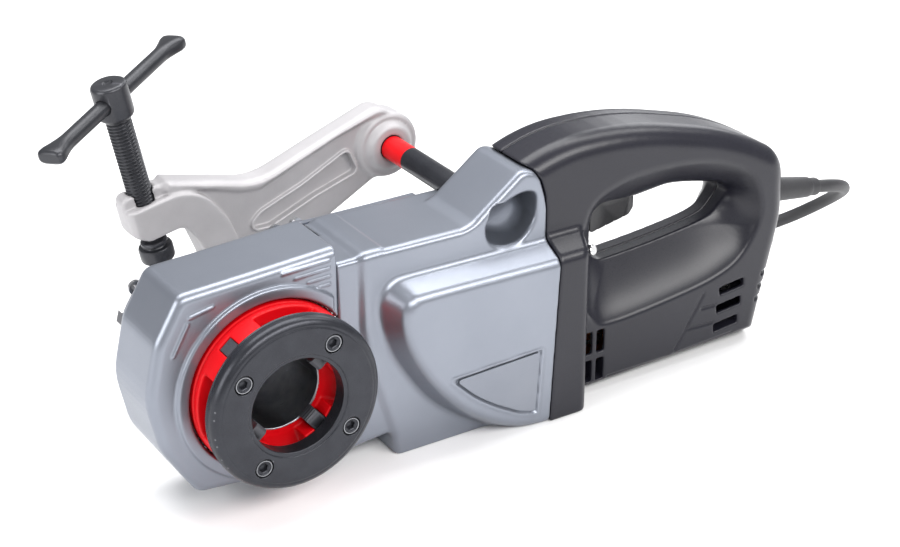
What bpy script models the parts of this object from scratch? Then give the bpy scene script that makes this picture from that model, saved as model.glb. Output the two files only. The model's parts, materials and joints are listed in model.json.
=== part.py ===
"""Electric pipe threading machine: a geared die head, a motor handle and a support clamp.

Run it in Blender 4.5.  Every length below is in millimetres, measured from the die axis at the
front of the die plate: +X runs along the machine to the handle, +Y runs back along the pipe,
+Z is up.  world() turns such a point into metres in the part's own frame, whose origin is the
middle of the footprint on the surface that the machine stands on.
"""

import math

import bmesh
import bpy
from mathutils import Matrix, Vector

MM = 0.001
GAP = 0.3                      # clearance between pieces that touch

# Where the die axis and the die plate's front lie in the part's own frame.
AXIS_X, FRONT_Y, AXIS_Z = -131.63, -97.31, 67.0
BASE_Z = -AXIS_Z               # the flat underside of the machine

# Driving dimensions of the machine.
PIPE_BORE = 22.0               # radius left free for a 1 1/4 inch pipe
PLATE_RADIUS, PLATE_HOLE, PLATE_THICK = 47.5, 26.0, 10.0
SCREW_CIRCLE, FIRST_SCREW_ANGLE = 36.0, 55.0
DIE_RADIUS, DIE_FLANGE_FRONT, DIE_FLANGE_BACK, DIE_HUB_BACK = 46.0, 21.0, 31.0, 68.0
HUB_RADIUS = 36.1              # over the corners of the eight-sided drive hub
FIRST_CHASER_ANGLE = 40.0
CHASER_WIDTH = 8.0
FRONT_Y_FACE, HEAD_BACK, BLOCK_BACK = 28.0, 72.0, 84.0
HEAD_RIGHT, BLOCK_LEFT = 39.0, 40.3
RING_CAVITY = 50.0
RING_TIP, IDLER_TIP, DRIVE_PINION_TIP = 49.0, 24.0, 9.0
CROWN_TIP, BEVEL_PINION_TIP = 30.0, 7.0
FIRST_GEAR_TIP, MOTOR_PINION_TIP = 29.5, 6.0
MESH_GAP = 0.6                 # between the tip circles of two gears that run together
MID_Y = 56.0                   # the plane where the two handle shells meet
MOTOR_Z = -36.0
BOSS_FRONT = 13.0
SHELL_RIM = 12.0               # rounding of the handle's outer edges
GRIP_BACK = 74.0               # the grip is thinner than the motor barrel below it

# Driving dimensions of the support clamp.
ROD_X, ROD_Z, ROD_RADIUS = 138.0, 59.0, 7.0
CLAMP_FRONT, CLAMP_BACK = 141.0, 163.0
CLAMP_Y = (CLAMP_FRONT + CLAMP_BACK) / 2
CLAMP_TILT = math.radians(11.5)
SPINDLE_RADIUS = 7.0
BAR_TURN = math.radians(33.4)  # the T-bar's turn about the spindle

# Power cord.
CORD_RADIUS = 4.0
COIL_X, COIL_Y = 188.0, 206.0
COIL_RADIUS = 44.0             # to the middle of the turns
COIL_HALF_WIDTH = 14.0
COIL_HEIGHT = 25.0

IDLER_X = RING_TIP + MESH_GAP + IDLER_TIP
DRIVE_X = IDLER_X + IDLER_TIP + MESH_GAP + DRIVE_PINION_TIP
CROWN_FACE = MID_Y + BEVEL_PINION_TIP + 0.5

COLOURS = {
    "silver": ((0.50, 0.53, 0.58), 0.35, 0.6),
    "clamp_grey": ((0.47, 0.46, 0.46), 0.5, 0.3),
    "red": ((0.75, 0.01, 0.02), 0.35, 0.0),
    "dark_steel": ((0.045, 0.05, 0.06), 0.35, 0.8),
    "steel": ((0.45, 0.45, 0.46), 0.3, 1.0),
    "black_plastic": ((0.03, 0.032, 0.04), 0.45, 0.0),
    "rubber": ((0.015, 0.015, 0.017), 0.6, 0.0),
    "copper": ((0.6, 0.25, 0.12), 0.4, 1.0),
    "carbon": ((0.02, 0.02, 0.02), 0.8, 0.0),
    "label_grey": ((0.33, 0.35, 0.38), 0.4, 0.5),
}


def clear_scene():
    for obj in list(bpy.data.objects):
        bpy.data.objects.remove(obj, do_unlink=True)


def new_collection(name):
    collection = bpy.data.collections.new(name)
    bpy.context.scene.collection.children.link(collection)
    return collection


clear_scene()
PARTS = new_collection("pipe_threading_machine")
CUTTERS = new_collection("cutters")


def material(name):
    found = bpy.data.materials.get(name)
    if found:
        return found
    colour, roughness, metallic = COLOURS[name]
    made = bpy.data.materials.new(name)
    made.use_nodes = True
    shader = made.node_tree.nodes["Principled BSDF"]
    shader.inputs["Base Color"].default_value = (*colour, 1.0)
    shader.inputs["Roughness"].default_value = roughness
    shader.inputs["Metallic"].default_value = metallic
    return made


# ---------------------------------------------------------------- frame and outlines

def world(x, y, z):
    return Vector(((x + AXIS_X) * MM, (y + FRONT_Y) * MM, (z + AXIS_Z) * MM))


def tilted(u, y, w):
    """A point of the clamp: w runs up its spindle from the pipe's axis, u square to it."""
    across = u * math.cos(CLAMP_TILT) - w * math.sin(CLAMP_TILT)
    up = u * math.sin(CLAMP_TILT) + w * math.cos(CLAMP_TILT)
    return world(across, y, up)


def tilted_outline(points):
    turn = Matrix.Rotation(CLAMP_TILT, 2)
    return [tuple(turn @ Vector(point)) for point in points]


def rounded(corners, step=math.radians(24)):
    """The outline through corners (x, z, radius), with each corner turned on its radius."""
    points = []
    count = len(corners)
    for i, (x, z, radius) in enumerate(corners):
        corner = Vector((x, z))
        before = (Vector(corners[i - 1][:2]) - corner).normalized()
        after = (Vector(corners[(i + 1) % count][:2]) - corner).normalized()
        opening = before.angle(after)
        if radius == 0 or opening > math.pi - 0.01:
            points.append((x, z))
            continue
        centre = corner + (before + after).normalized() * radius / math.sin(opening / 2)
        start = corner + before * radius / math.tan(opening / 2) - centre
        end = corner + after * radius / math.tan(opening / 2) - centre
        sweep = math.atan2(start.x * end.y - start.y * end.x, start.dot(end))
        steps = max(1, math.ceil(abs(sweep) / step))
        for k in range(steps + 1):
            turned_arm = Matrix.Rotation(sweep * k / steps, 2) @ start
            points.append(tuple(centre + turned_arm))
    return points


def smooth_loop(points, per_span):
    """A closed Catmull-Rom curve through the points."""
    count = len(points)
    found = []
    for i in range(count):
        a, b, c, d = (Vector(points[(i + k) % count]) for k in (-1, 0, 1, 2))
        for k in range(per_span):
            t = k / per_span
            curve = (2 * b + (c - a) * t + (2 * a - 5 * b + 4 * c - d) * t ** 2
                     + (3 * b - a - 3 * c + d) * t ** 3) / 2
            found.append(tuple(curve))
    return found


def smooth_route(points, spacing):
    """Points about one spacing apart along a Catmull-Rom curve through the route's points."""
    ends = [points[0] * 2 - points[1], *points, points[-1] * 2 - points[-2]]
    found = [points[0]]
    for a, b, c, d in zip(ends, ends[1:], ends[2:], ends[3:]):
        steps = max(1, round((c - b).length / spacing))
        for k in range(1, steps + 1):
            t = k / steps
            found.append((2 * b + (c - a) * t + (2 * a - 5 * b + 4 * c - d) * t ** 2
                          + (3 * b - a - 3 * c + d) * t ** 3) / 2)
    return found


# ---------------------------------------------------------------- solids

def add_object(name, mesh, colour):
    obj = bpy.data.objects.new(name, mesh)
    PARTS.objects.link(obj)
    mesh.materials.clear()
    mesh.materials.append(material(colour))
    return obj


def shade(mesh, angle=35):
    mesh.shade_smooth()
    mesh.set_sharp_from_angle(angle=math.radians(angle))


def curve_to_mesh(curve_object, name, colour):
    """Makes a mesh object of a curve, with its caps welded on, and removes the curve."""
    bpy.context.view_layer.update()
    graph = bpy.context.evaluated_depsgraph_get()
    mesh = bpy.data.meshes.new_from_object(curve_object.evaluated_get(graph))
    mesh.name = name
    weld = bmesh.new()
    weld.from_mesh(mesh)
    bmesh.ops.remove_doubles(weld, verts=weld.verts, dist=1e-6)
    bmesh.ops.dissolve_limit(weld, angle_limit=0.001, verts=weld.verts, edges=weld.edges)
    bmesh.ops.recalc_face_normals(weld, faces=weld.faces)
    weld.to_mesh(mesh)
    weld.free()
    obj = add_object(name, mesh, colour)
    obj.matrix_world = curve_object.matrix_world.copy()
    bpy.data.objects.remove(curve_object, do_unlink=True)
    return obj


def prism(name, outline, front, back, colour="steel"):
    """A flat outline of (x, z) points with its thickness from front to back along Y."""
    curve = bpy.data.curves.new(name + "_outline", "CURVE")
    curve.dimensions = "2D"
    curve.fill_mode = "BOTH"
    curve.extrude = (back - front) / 2 * MM
    spline = curve.splines.new("POLY")
    spline.points.add(len(outline) - 1)
    for point, (x, z) in zip(spline.points, outline):
        point.co = (x * MM, z * MM, 0.0, 1.0)
    spline.use_cyclic_u = True
    obj = bpy.data.objects.new(name + "_outline", curve)
    PARTS.objects.link(obj)
    obj.rotation_euler = (math.pi / 2, 0.0, 0.0)
    obj.location = world(0, (front + back) / 2, 0)
    return curve_to_mesh(obj, name, colour)


def box(name, low, high, colour="steel"):
    build = bmesh.new()
    bmesh.ops.create_cube(build, size=1.0)
    size = [(h - l) * MM for l, h in zip(low, high)]
    bmesh.ops.scale(build, vec=size, verts=build.verts)
    mesh = bpy.data.meshes.new(name)
    build.to_mesh(mesh)
    build.free()
    obj = add_object(name, mesh, colour)
    obj.location = world(*((l + h) / 2 for l, h in zip(low, high)))
    return obj


def turned(name, profile, base, axis, steps=32, colour="steel", closed=False):
    """A profile of (radius, height) turned about an axis; it runs down its outer side."""
    mesh = bpy.data.meshes.new(name)
    build = bmesh.new()
    corners = [build.verts.new((r * MM, 0.0, h * MM)) for r, h in profile]
    for a, b in zip(corners, corners[1:]):
        build.edges.new((a, b))
    if closed:
        build.edges.new((corners[-1], corners[0]))
    build.to_mesh(mesh)
    build.free()
    obj = add_object(name, mesh, colour)
    obj.location = base
    obj.rotation_euler = Vector(axis).to_track_quat("Z", "Y").to_euler()
    screw = obj.modifiers.new("turn", "SCREW")
    screw.steps = steps
    screw.render_steps = steps
    screw.use_merge_vertices = True
    screw.merge_threshold = 0.00001
    screw.use_smooth_shade = True
    return obj


def rod(name, start, end, radius, steps=24, colour="steel"):
    length = (end - start).length / MM
    profile = [(0, length), (radius, length), (radius, 0), (0, 0)]
    return turned(name, profile, start, end - start, steps, colour)


def ring(name, start, end, inner, outer, steps=32, colour="steel"):
    length = (end - start).length / MM
    profile = [(outer, length), (outer, 0), (inner, 0), (inner, length)]
    return turned(name, profile, start, end - start, steps, colour, closed=True)


def loft(name, loops, colour="steel"):
    """A solid skinned over loops of world points, all of one length and one direction."""
    build = bmesh.new()
    rows = [[build.verts.new(point) for point in loop] for loop in loops]
    count = len(rows[0])
    for row, following in zip(rows, rows[1:]):
        for i in range(count):
            k = (i + 1) % count
            build.faces.new((row[i], row[k], following[k], following[i]))
    build.faces.new(rows[0])
    build.faces.new(rows[-1])
    bmesh.ops.recalc_face_normals(build, faces=build.faces)
    mesh = bpy.data.meshes.new(name)
    build.to_mesh(mesh)
    build.free()
    return add_object(name, mesh, colour)


def tube(name, points, radius, resolution=2, colour="rubber"):
    curve = bpy.data.curves.new(name, "CURVE")
    curve.dimensions = "3D"
    curve.bevel_depth = radius * MM
    curve.bevel_resolution = resolution
    curve.use_fill_caps = True
    spline = curve.splines.new("POLY")
    spline.points.add(len(points) - 1)
    for point, place in zip(spline.points, points):
        point.co = (*place, 1.0)
    obj = bpy.data.objects.new(name, curve)
    PARTS.objects.link(obj)
    curve.materials.append(material(colour))
    return obj


def put_away(tool):
    PARTS.objects.unlink(tool)
    CUTTERS.objects.link(tool)
    tool.hide_render = True
    tool.display_type = "WIRE"


def boolean(obj, tool, operation):
    step = obj.modifiers.new(tool.name, "BOOLEAN")
    step.operation = operation
    step.solver = "EXACT"
    step.object = tool
    if tool.name not in CUTTERS.objects:
        put_away(tool)


def cut(obj, *tools):
    for tool in tools:
        boolean(obj, tool, "DIFFERENCE")


def join(obj, *tools):
    for tool in tools:
        boolean(obj, tool, "UNION")


def round_rims(obj, width, segments=2, limit=50):
    bevel = obj.modifiers.new("rims", "BEVEL")
    bevel.width = width * MM
    bevel.segments = segments
    bevel.limit_method = "ANGLE"
    bevel.angle_limit = math.radians(limit)


def hole_y(name, x, z, radius, front, back, steps=12):
    return rod(name, world(x, front, z), world(x, back, z), radius, steps)


def hole_x(name, y, z, radius, left, right, steps=24):
    return rod(name, world(left, y, z), world(right, y, z), radius, steps)


def on_circle(radius, degrees):
    angle = math.radians(degrees)
    return radius * math.cos(angle), radius * math.sin(angle)


# ---------------------------------------------------------------- silver castings

HEAD_OUTLINE = rounded([
    (60, 67.2, 0), (-6, 63.5, 0), (-48, 61.5, 8), (-62, 38, 22), (-69, 8, 40),
    (-62.5, -22, 26), (-44, -52, 8), (60, -61, 0)])
HEAD_SCREWS = [(-50, 47), (-54.5, -20), (30, 58)]
BLOCK_SCREWS = [(48, 53), (157, -58), (86, -62.5)]


def cover_screw_holes(places, front, back):
    return [hole_y(f"cover_screw_hole_{x:.0f}_{z:.0f}", x, z, 2.3, front, back)
            for x, z in places]


def head_housing():
    head = prism("head_housing", HEAD_OUTLINE, FRONT_Y_FACE, HEAD_BACK, "silver")
    round_rims(head, 5)
    cut(head,
        box("head_right_cut", (HEAD_RIGHT, 0, -90), (90, 100, 90)),
        hole_y("head_cavity", 0, 0, RING_CAVITY, 32, 90, 40),
        hole_y("head_mouth", 0, 0, 47.2, 10, 50, 40),
        *cover_screw_holes(HEAD_SCREWS, 58, 90))
    return head


def head_cover():
    cover = prism("head_rear_cover", rounded([
        (HEAD_RIGHT, 62, 0), (-45, 57.5, 8), (-58.5, 36, 22), (-64, 8, 40),
        (-58, -20, 24), (-42, -47, 8), (HEAD_RIGHT, -54.5, 0)]),
        HEAD_BACK + GAP, HEAD_BACK + 4, "silver")
    cut(cover, hole_y("head_cover_bore", 0, 0, 27, 60, 90, 32),
        *cover_screw_holes(HEAD_SCREWS, 60, 91))
    return cover


def boss():
    """The raised pad on the front of the gear block, with sloping flanks."""
    foot = [(172, 38.5), (80, 40), (72, 39.8), (66, 36.5), (62.3, 29), (63, 18), (67.4, 0.3),
            (75.8, -15.3), (89.3, -34.7), (103.1, -47.7), (117.3, -58.1), (131.8, BASE_Z),
            (172, BASE_Z)]
    face = [(172, 30.5), (84, 32.5), (77, 31), (73, 27.5), (71.3, 22), (71.5, 15), (76.4, 0.9),
            (85.9, -16.9), (97.6, -31.9), (109.6, -44.3), (125.8, -55.3), (142.4, -62.5),
            (172, -66.5)]
    loops = []
    for outline, depth in ((foot, FRONT_Y_FACE + 1), (face, BOSS_FRONT)):
        loops.append([world(x, depth, z) for x, z in outline])
    return loft("boss", loops)


def rod_bracket():
    outline = rounded([(108, 48, 0), (152.5, 81.5, 7), (163.5, 79, 9), (172, 52, 0),
                       (172, 40, 0)])
    return prism("rod_bracket", outline, FRONT_Y_FACE, 73)


def silver_right_side():
    """Everything right of the joint between the gear block and the handle shells."""
    edge = [(162.4, -90), (162.4, BASE_Z), (167.8, 32), (167.8, 56), (167, 64),
            (164.2, 73), (160, 79.3), (155, 82.2), (150, 100), (220, 100), (220, -90)]
    return prism("silver_right_side", edge, 0, 110)


ROD_MOUTH = [(129.6, 52.5), (131.5, 58.4), (138.3, 63.9), (146.2, 67.4), (154.1, 68.8),
             (160, 66.8), (161.8, 61.7), (160.2, 51.2), (152.7, 42.8), (144.6, 41),
             (137.6, 42), (131.6, 45.6)]


def gear_housing():
    block = prism("gear_housing", rounded([
        (53.5, 57.5, 0), (53.5, 15, 0), (60, -16, 0), (71, -53, 0), (75, -90, 0),
        (180, -90, 0), (180, 56, 0)]), FRONT_Y_FACE, BLOCK_BACK, "silver")
    round_rims(block, 4)
    neck = prism("block_neck", [(36, 57.5), (70, 57.5), (70, -53), (36, -57)], 31, BLOCK_BACK)
    cavity = prism("block_cavity", rounded([
        (56, 46, 6), (56, -44, 6), (90, -56, 6), (149, -56, 6), (149, 46, 6)]), 33, 100)
    join(block, neck, rod_bracket(), boss())
    cut(block, cavity,
        box("block_left_cut", (0, 0, -95), (BLOCK_LEFT, 110, 90)),
        box("block_base_cut", (0, 0, -120), (250, 110, BASE_Z)),
        silver_right_side(),
        hole_y("ring_clearance", 0, 0, RING_CAVITY + 0.4, 32, 78, 40),
        hole_y("idler_clearance", IDLER_X, 0, IDLER_TIP + 2, 33, 100, 24),
        hole_y("rod_bore", ROD_X, ROD_Z, ROD_RADIUS + GAP, 10, 100, 24),
        prism("rod_mouth", smooth_loop(ROD_MOUTH, 2), 10, 46),
        hole_x("bevel_bearing_seat", MID_Y, 0, 11, 140, 175),
        prism("label_recess", label_outline(1.0), BOSS_FRONT - 3, BOSS_FRONT + 1.2),
        *cover_screw_holes(BLOCK_SCREWS, 66, 120))
    return block


def gear_cover():
    outline = rounded([(BLOCK_LEFT, 57.5, 0), (BLOCK_LEFT, -53, 0), (66, -55, 0),
                       (78, BASE_Z, 0), (162, BASE_Z, 0), (166, 20, 0), (166, 50, 0),
                       (148, 50, 0), (128, 50, 0), (122, 57.5, 0)])
    cover = prism("gear_rear_cover", outline, BLOCK_BACK + GAP, BLOCK_BACK + 3.5, "silver")
    cut(cover, *cover_screw_holes(BLOCK_SCREWS, 60, 121))
    return cover


def cover_screws():
    placed = [(x, z, HEAD_BACK + 4) for x, z in HEAD_SCREWS]
    placed += [(x, z, BLOCK_BACK + 3.5) for x, z in BLOCK_SCREWS]
    for number, (x, z, seat) in enumerate(placed, 1):
        profile = [(0, 2.8), (4, 2.8), (4, GAP), (2, GAP), (2, -14), (0, -14)]
        turned(f"cover_screw_{number}", profile, world(x, seat, z), (0, 1, 0), 10, "steel")


LABEL = [(101, -22.5), (155, -20.5), (152.5, -56.5), (142.3, -53.5), (125.7, -43.8),
         (113.5, -35)]


def label_outline(grow):
    """The blank rating plate's outline, grown outwards for its recess."""
    points = []
    corners = [Vector(corner) for corner in LABEL]
    for i, corner in enumerate(corners):
        before = (corner - corners[i - 1]).normalized()
        after = (corners[(i + 1) % len(corners)] - corner).normalized()
        outward = Vector((-before.y - after.y, before.x + after.x))
        points.append(tuple(corner + outward * grow / (1 + before.dot(after))))
    return points


def label_plate():
    prism("label_plate", label_outline(0), BOSS_FRONT - 0.1, BOSS_FRONT + 0.9, "label_grey")


# ---------------------------------------------------------------- gear train

def ring_gear():
    profile = [(42, 70), (42, 50), (RING_TIP, 50), (RING_TIP, 38), (44, 38), (44, 32.5),
               (32, 32.5), (32, 70)]
    gear = turned("ring_gear", profile, world(0, 0, 0), (0, 1, 0), 40, "steel", closed=True)
    bore = rod("drive_bore", world(0, 20, 0), world(0, 80, 0), HUB_RADIUS + 0.5, 8)
    cut(gear, bore)
    ring("front_ring_bearing", world(0, 32.3, 0), world(0, 37.4, 0), 44.3, 49.4, 32)
    ring("rear_ring_bearing", world(0, 58, 0), world(0, 68, 0), 42.3, 49.6, 32)


def gear_train():
    ring("idler_gear", world(IDLER_X, 38, 0), world(IDLER_X, 50, 0), 4.3, IDLER_TIP, 28)
    rod("idler_pin", world(IDLER_X, 33.3, 0), world(IDLER_X, 60, 0), 4, 14)
    shaft = [(0, 80), (5, 80), (5, 50), (DRIVE_PINION_TIP, 50), (DRIVE_PINION_TIP, 38),
             (5, 38), (5, 33.3), (0, 33.3)]
    turned("drive_pinion_shaft", shaft, world(DRIVE_X, 0, 0), (0, 1, 0), 16)
    ring("crown_wheel", world(DRIVE_X, CROWN_FACE, 0), world(DRIVE_X, CROWN_FACE + 6.5, 0),
         5.3, CROWN_TIP, 28)
    pinion_left, pinion_right, end = DRIVE_X + 11, DRIVE_X + 24, 176.5
    profile = [(0, end), (5, end), (5, pinion_right), (BEVEL_PINION_TIP, pinion_right),
               (BEVEL_PINION_TIP - 2.5, pinion_left), (0, pinion_left)]
    turned("bevel_pinion_shaft", profile, world(0, MID_Y, 0), (1, 0, 0), 16)
    ring("bevel_shaft_bearing", world(150, MID_Y, 0), world(160, MID_Y, 0), 5.3, 10.7, 20)
    ring("first_stage_gear", world(168.7, MID_Y, 0), world(175, MID_Y, 0), 5.3,
         FIRST_GEAR_TIP, 28)


# ---------------------------------------------------------------- motor

def motor():
    def along(x):
        return world(x, MID_Y, MOTOR_Z)

    shaft = [(0, 325.5), (3.5, 325.5), (3.5, 176), (MOTOR_PINION_TIP, 176),
             (MOTOR_PINION_TIP, 167), (0, 167)]
    turned("motor_shaft", shaft, along(0), (1, 0, 0), 14)
    ring("front_motor_bearing", along(178), along(185), 3.8, 11, 18)
    ring("rear_motor_bearing", along(318), along(325), 3.8, 9, 18)
    fan = [(24, 198), (24, 195), (9, 195), (9, 190), (3.8, 190), (3.8, 198)]
    turned("cooling_fan", fan, along(0), (1, 0, 0), 20, "black_plastic", closed=True)
    core = [(10, 284), (10, 267), (5.5, 267), (15, 262), (15, 214), (3.8, 214), (3.8, 284)]
    turned("armature", core, along(0), (1, 0, 0), 20, "copper", closed=True)
    ring("stator", along(216), along(260), 16, 25.2, 24, "steel")
    for name, side in (("front_carbon_brush", -1), ("rear_carbon_brush", 1)):
        near, far = sorted((MID_Y + side * 10.5, MID_Y + side * 21))
        box(name, (271, near, MOTOR_Z - 3), (279, far, MOTOR_Z + 3), "carbon")


# ---------------------------------------------------------------- handle shells

def handle_body():
    """The closed D-shaped handle with its motor barrel, before it is split."""
    outline = rounded([
        (140, 74, 0), (172, 90.5, 100), (228, 90.5, 220), (300, 71, 200), (339.5, 48, 22),
        (341.5, 10, 60), (319, -90, 0), (140, -90, 0)], math.radians(8))
    body = prism("handle_body", outline, FRONT_Y_FACE, GRIP_BACK)
    round_rims(body, SHELL_RIM, 3)
    barrel = prism("motor_barrel", rounded([
        (130, 34, 0), (300, 22, 30), (337.5, 6, 20), (316.5, -95, 0), (130, -95, 0)]),
        FRONT_Y_FACE + 20, BLOCK_BACK)
    round_rims(barrel, SHELL_RIM / 2, 2)
    join(body, barrel)
    loops = []
    for depth, right, top in ((BOSS_FRONT, 187, 32), (FRONT_Y_FACE + 3, 194, 41.5),
                              (BLOCK_BACK - 3, 194, 41.5), (2 * MID_Y - BOSS_FRONT, 187, 32)):
        loops.append([world(x, depth, z) for x, z in
                      ((152, -84), (right, -84), (right, top), (152, top))])
    join(body, loft("collar", loops))
    return body


def finger_opening():
    """The D-shaped opening: straight in the middle and flared to both faces."""
    face = [(193, 29), (195, -5), (202, -22), (218, -26), (262, -22), (290, -17), (308, -8),
            (320, 11), (320, 28), (310, 45), (286, 57), (254, 62), (222, 61), (199, 51)]
    throat = [(212, 27), (212, 12), (216, 5), (228, 3), (262, 6), (292, 9), (306, 14),
              (311, 21), (311, 28), (305, 32), (294, 36), (266, 41), (250, 41), (216, 36)]
    loops = []
    flare = FRONT_Y_FACE - 1
    for outline, depth in ((face, flare), (throat, 48), (throat, 2 * MID_Y - 48),
                           (face, 2 * MID_Y - flare)):
        loops.append([world(x, depth, z) for x, z in smooth_loop(outline, 2)])
    return loft("finger_opening", loops)


def trigger_well():
    """The recess around the trigger, where the flared opening steps back from it."""
    outline = [(204, 20), (199, 38), (201, 45), (208, 48), (237, 42), (246, 38), (242, 20)]
    return prism("trigger_well", outline, FRONT_Y_FACE + 2, 2 * MID_Y - FRONT_Y_FACE - 2)


def shell_left_side():
    edge = [(100, -100), (162.8, -100), (162.8, BASE_Z), (168.2, 32), (168.2, 56.2),
            (167.4, 64.2), (164.6, 73.3), (160.3, 79.7), (155.2, 82.6), (150, 84), (100, 84)]
    return prism("shell_left_side", edge, 0, 115)


def vent_slots():
    slots = []
    for side, (front, back) in (("near", (20, 40)), ("far", (72, 92))):
        for column, x in enumerate((198.9, 207.3)):
            for row, z in enumerate((-35.3, -53.1)):
                slots.append(box(f"fan_slot_{side}_{column}_{row}", (x - 2.5, front, z - 6.8),
                                 (x + 2.5, back, z + 6.8)))
        for row, (x, z) in enumerate(((302, -26.5), (300.5, -38), (299, -50))):
            slot = box(f"brush_slot_{side}_{row}", (x - 9, front, z - 2.6),
                       (x + 9, back, z + 2.6))
            slot.rotation_euler = (0, math.radians(-6), 0)
            slots.append(slot)
    return slots


SHELL_SCREWS = [(181, 14, 96), (319, -57, 81), (330, 40, 71), (270, 66, 71)]   # x, z, seat
SCREW_TIP = 43.0
RELIEF_AXIS = Vector((math.cos(math.radians(10)), 0, -math.sin(math.radians(10))))
RELIEF_START = world(336.5, MID_Y, 16)
RELIEF_LENGTH = 52.0


def stepped_hole(name, x, z, seat):
    """A clearance hole for a shell screw, with a wider seat for its head."""
    profile = [(0, 120), (4.2, 120), (4.2, seat), (2.2, seat), (2.2, 38), (0, 38)]
    return turned(name, profile, world(x, 0, z), (0, 1, 0), 14)


def shell_rooms():
    """The hollows, holes and slots inside the closed pair of shells."""
    return [
        *vent_slots(),
        hole_x("gear_room", MID_Y, 0, 31.5, 150, 177, 28),
        hole_x("pinion_room", MID_Y, MOTOR_Z, 9, 150, 178, 16),
        hole_x("front_bearing_seat", MID_Y, MOTOR_Z, 11.3, 170, 190, 20),
        hole_x("motor_room", MID_Y, MOTOR_Z, 26, 187.5, 316, 28),
        hole_x("rear_bearing_seat", MID_Y, MOTOR_Z, 9.3, 310, 326.5, 20),
        box("switch_room", (205, 40, 50), (250, 68, 73)),
        box("trigger_slot", (211.4, 48.4, 20), (244, 63.6, 52)),
        box("wire_channel", (248, 51, 53), (318, 61, 58)),
        box("cord_channel", (312, 51.5, 12), (332, 60.5, 56)),
        rod("relief_socket", RELIEF_START - RELIEF_AXIS * 3 * MM,
            RELIEF_START + RELIEF_AXIS * 60 * MM, 8.6, 16),
        *[stepped_hole(f"shell_screw_hole_{n}", x, z, seat) for n, (x, z, seat) in
          enumerate(SHELL_SCREWS)]]


def handle_shells():
    front = handle_body()
    front.name = "handle_shell_front"
    cut(front, finger_opening(), trigger_well(), shell_left_side(),
        box("shell_base_cut", (100, 0, -130), (400, 115, BASE_Z)))
    rear = front.copy()
    rear.data = front.data.copy()
    rear.name = "handle_shell_rear"
    PARTS.objects.link(rear)
    rooms = shell_rooms()
    for shell, low, high in ((front, MID_Y - 0.15, 130), (rear, -20, MID_Y + 0.15)):
        cut(shell, box(shell.name + "_split", (100, low, -140), (400, high, 130)), *rooms)
        shell.data.materials.clear()
        shell.data.materials.append(material("black_plastic"))
    cut(rear, box("selector_slot", (211, 66, 57.6), (239, 92, 66.4)))


def shell_screws():
    for number, (x, z, seat) in enumerate(SHELL_SCREWS, 1):
        profile = [(0, 2.6), (3.8, 2.6), (3.8, GAP), (1.9, GAP),
                   (1.9, SCREW_TIP - seat), (0, SCREW_TIP - seat)]
        turned(f"shell_screw_{number}", profile, world(x, seat, z), (0, 1, 0), 10, "steel")


def controls():
    box("switch_block", (208, 43, 52), (242, 65, 71), "black_plastic")
    outline = rounded([(212.4, 46, 0), (212.4, 21.5, 2.5), (240, 27, 3), (243, 31, 2),
                       (243, 46, 0)], math.radians(40))
    prism("trigger", outline, 49, 63, "black_plastic")
    knob = box("direction_selector", (217, 65.6, 58.2), (229, 77.5, 65.8), "red")
    round_rims(knob, 1.2, 1)


# ---------------------------------------------------------------- die head

def sector(name, middle, half, inner, outer, front, back):
    """A wedge about the die axis, its flanks at half an angle from the middle."""
    outline = [on_circle(inner, middle - half), on_circle(outer, middle - half),
               on_circle(outer, middle), on_circle(outer, middle + half),
               on_circle(inner, middle + half)]
    return prism(name, outline, front, back)


def die_body():
    body = turned("die_head_body", [(0, DIE_FLANGE_BACK), (DIE_RADIUS, DIE_FLANGE_BACK),
                                    (DIE_RADIUS, PLATE_THICK + GAP), (0, PLATE_THICK + GAP)],
                  world(0, 0, 0), (0, 1, 0), 40, "red")
    hub = rod("drive_hub", world(0, 28, 0), world(0, DIE_HUB_BACK, 0), HUB_RADIUS, 8)
    join(body, hub)
    cut(body, hole_y("die_bore", 0, 0, PIPE_BORE, 5, 80, 32),
        hole_y("die_chamber", 0, 0, 26, 5, DIE_FLANGE_FRONT, 32))
    for number in range(4):
        angle = FIRST_CHASER_ANGLE + 90 * number
        slot = radial_box(f"chaser_slot_{number}", angle, 15, 60, CHASER_WIDTH + 2 * GAP,
                          5, DIE_FLANGE_FRONT)
        pocket = sector(f"chip_pocket_{number}", angle + 45, 22, 18, 62, 5, DIE_FLANGE_FRONT)
        x, z = on_circle(SCREW_CIRCLE, FIRST_SCREW_ANGLE + 90 * number)
        cut(body, slot, pocket, hole_y(f"plate_screw_bore_{number}", x, z, 2.8, 5, 24))


def radial_box(name, degrees, inner, outer, width, front, back, colour="steel"):
    piece = box(name, (inner, front, -width / 2), (outer, back, width / 2), colour)
    turn = Matrix.Rotation(math.radians(-degrees), 4, "Y")
    axis = world(0, 0, 0)
    centre = world((inner + outer) / 2, (front + back) / 2, 0)
    piece.matrix_world = (Matrix.Translation(axis) @ turn
                          @ Matrix.Translation(centre - axis))
    return piece


def chasers():
    for number in range(4):
        angle = FIRST_CHASER_ANGLE + 90 * number
        radial_box(f"chaser_{number + 1}", angle, 19.5, 45, CHASER_WIDTH, 11,
                   DIE_FLANGE_FRONT - GAP, "dark_steel")


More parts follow.
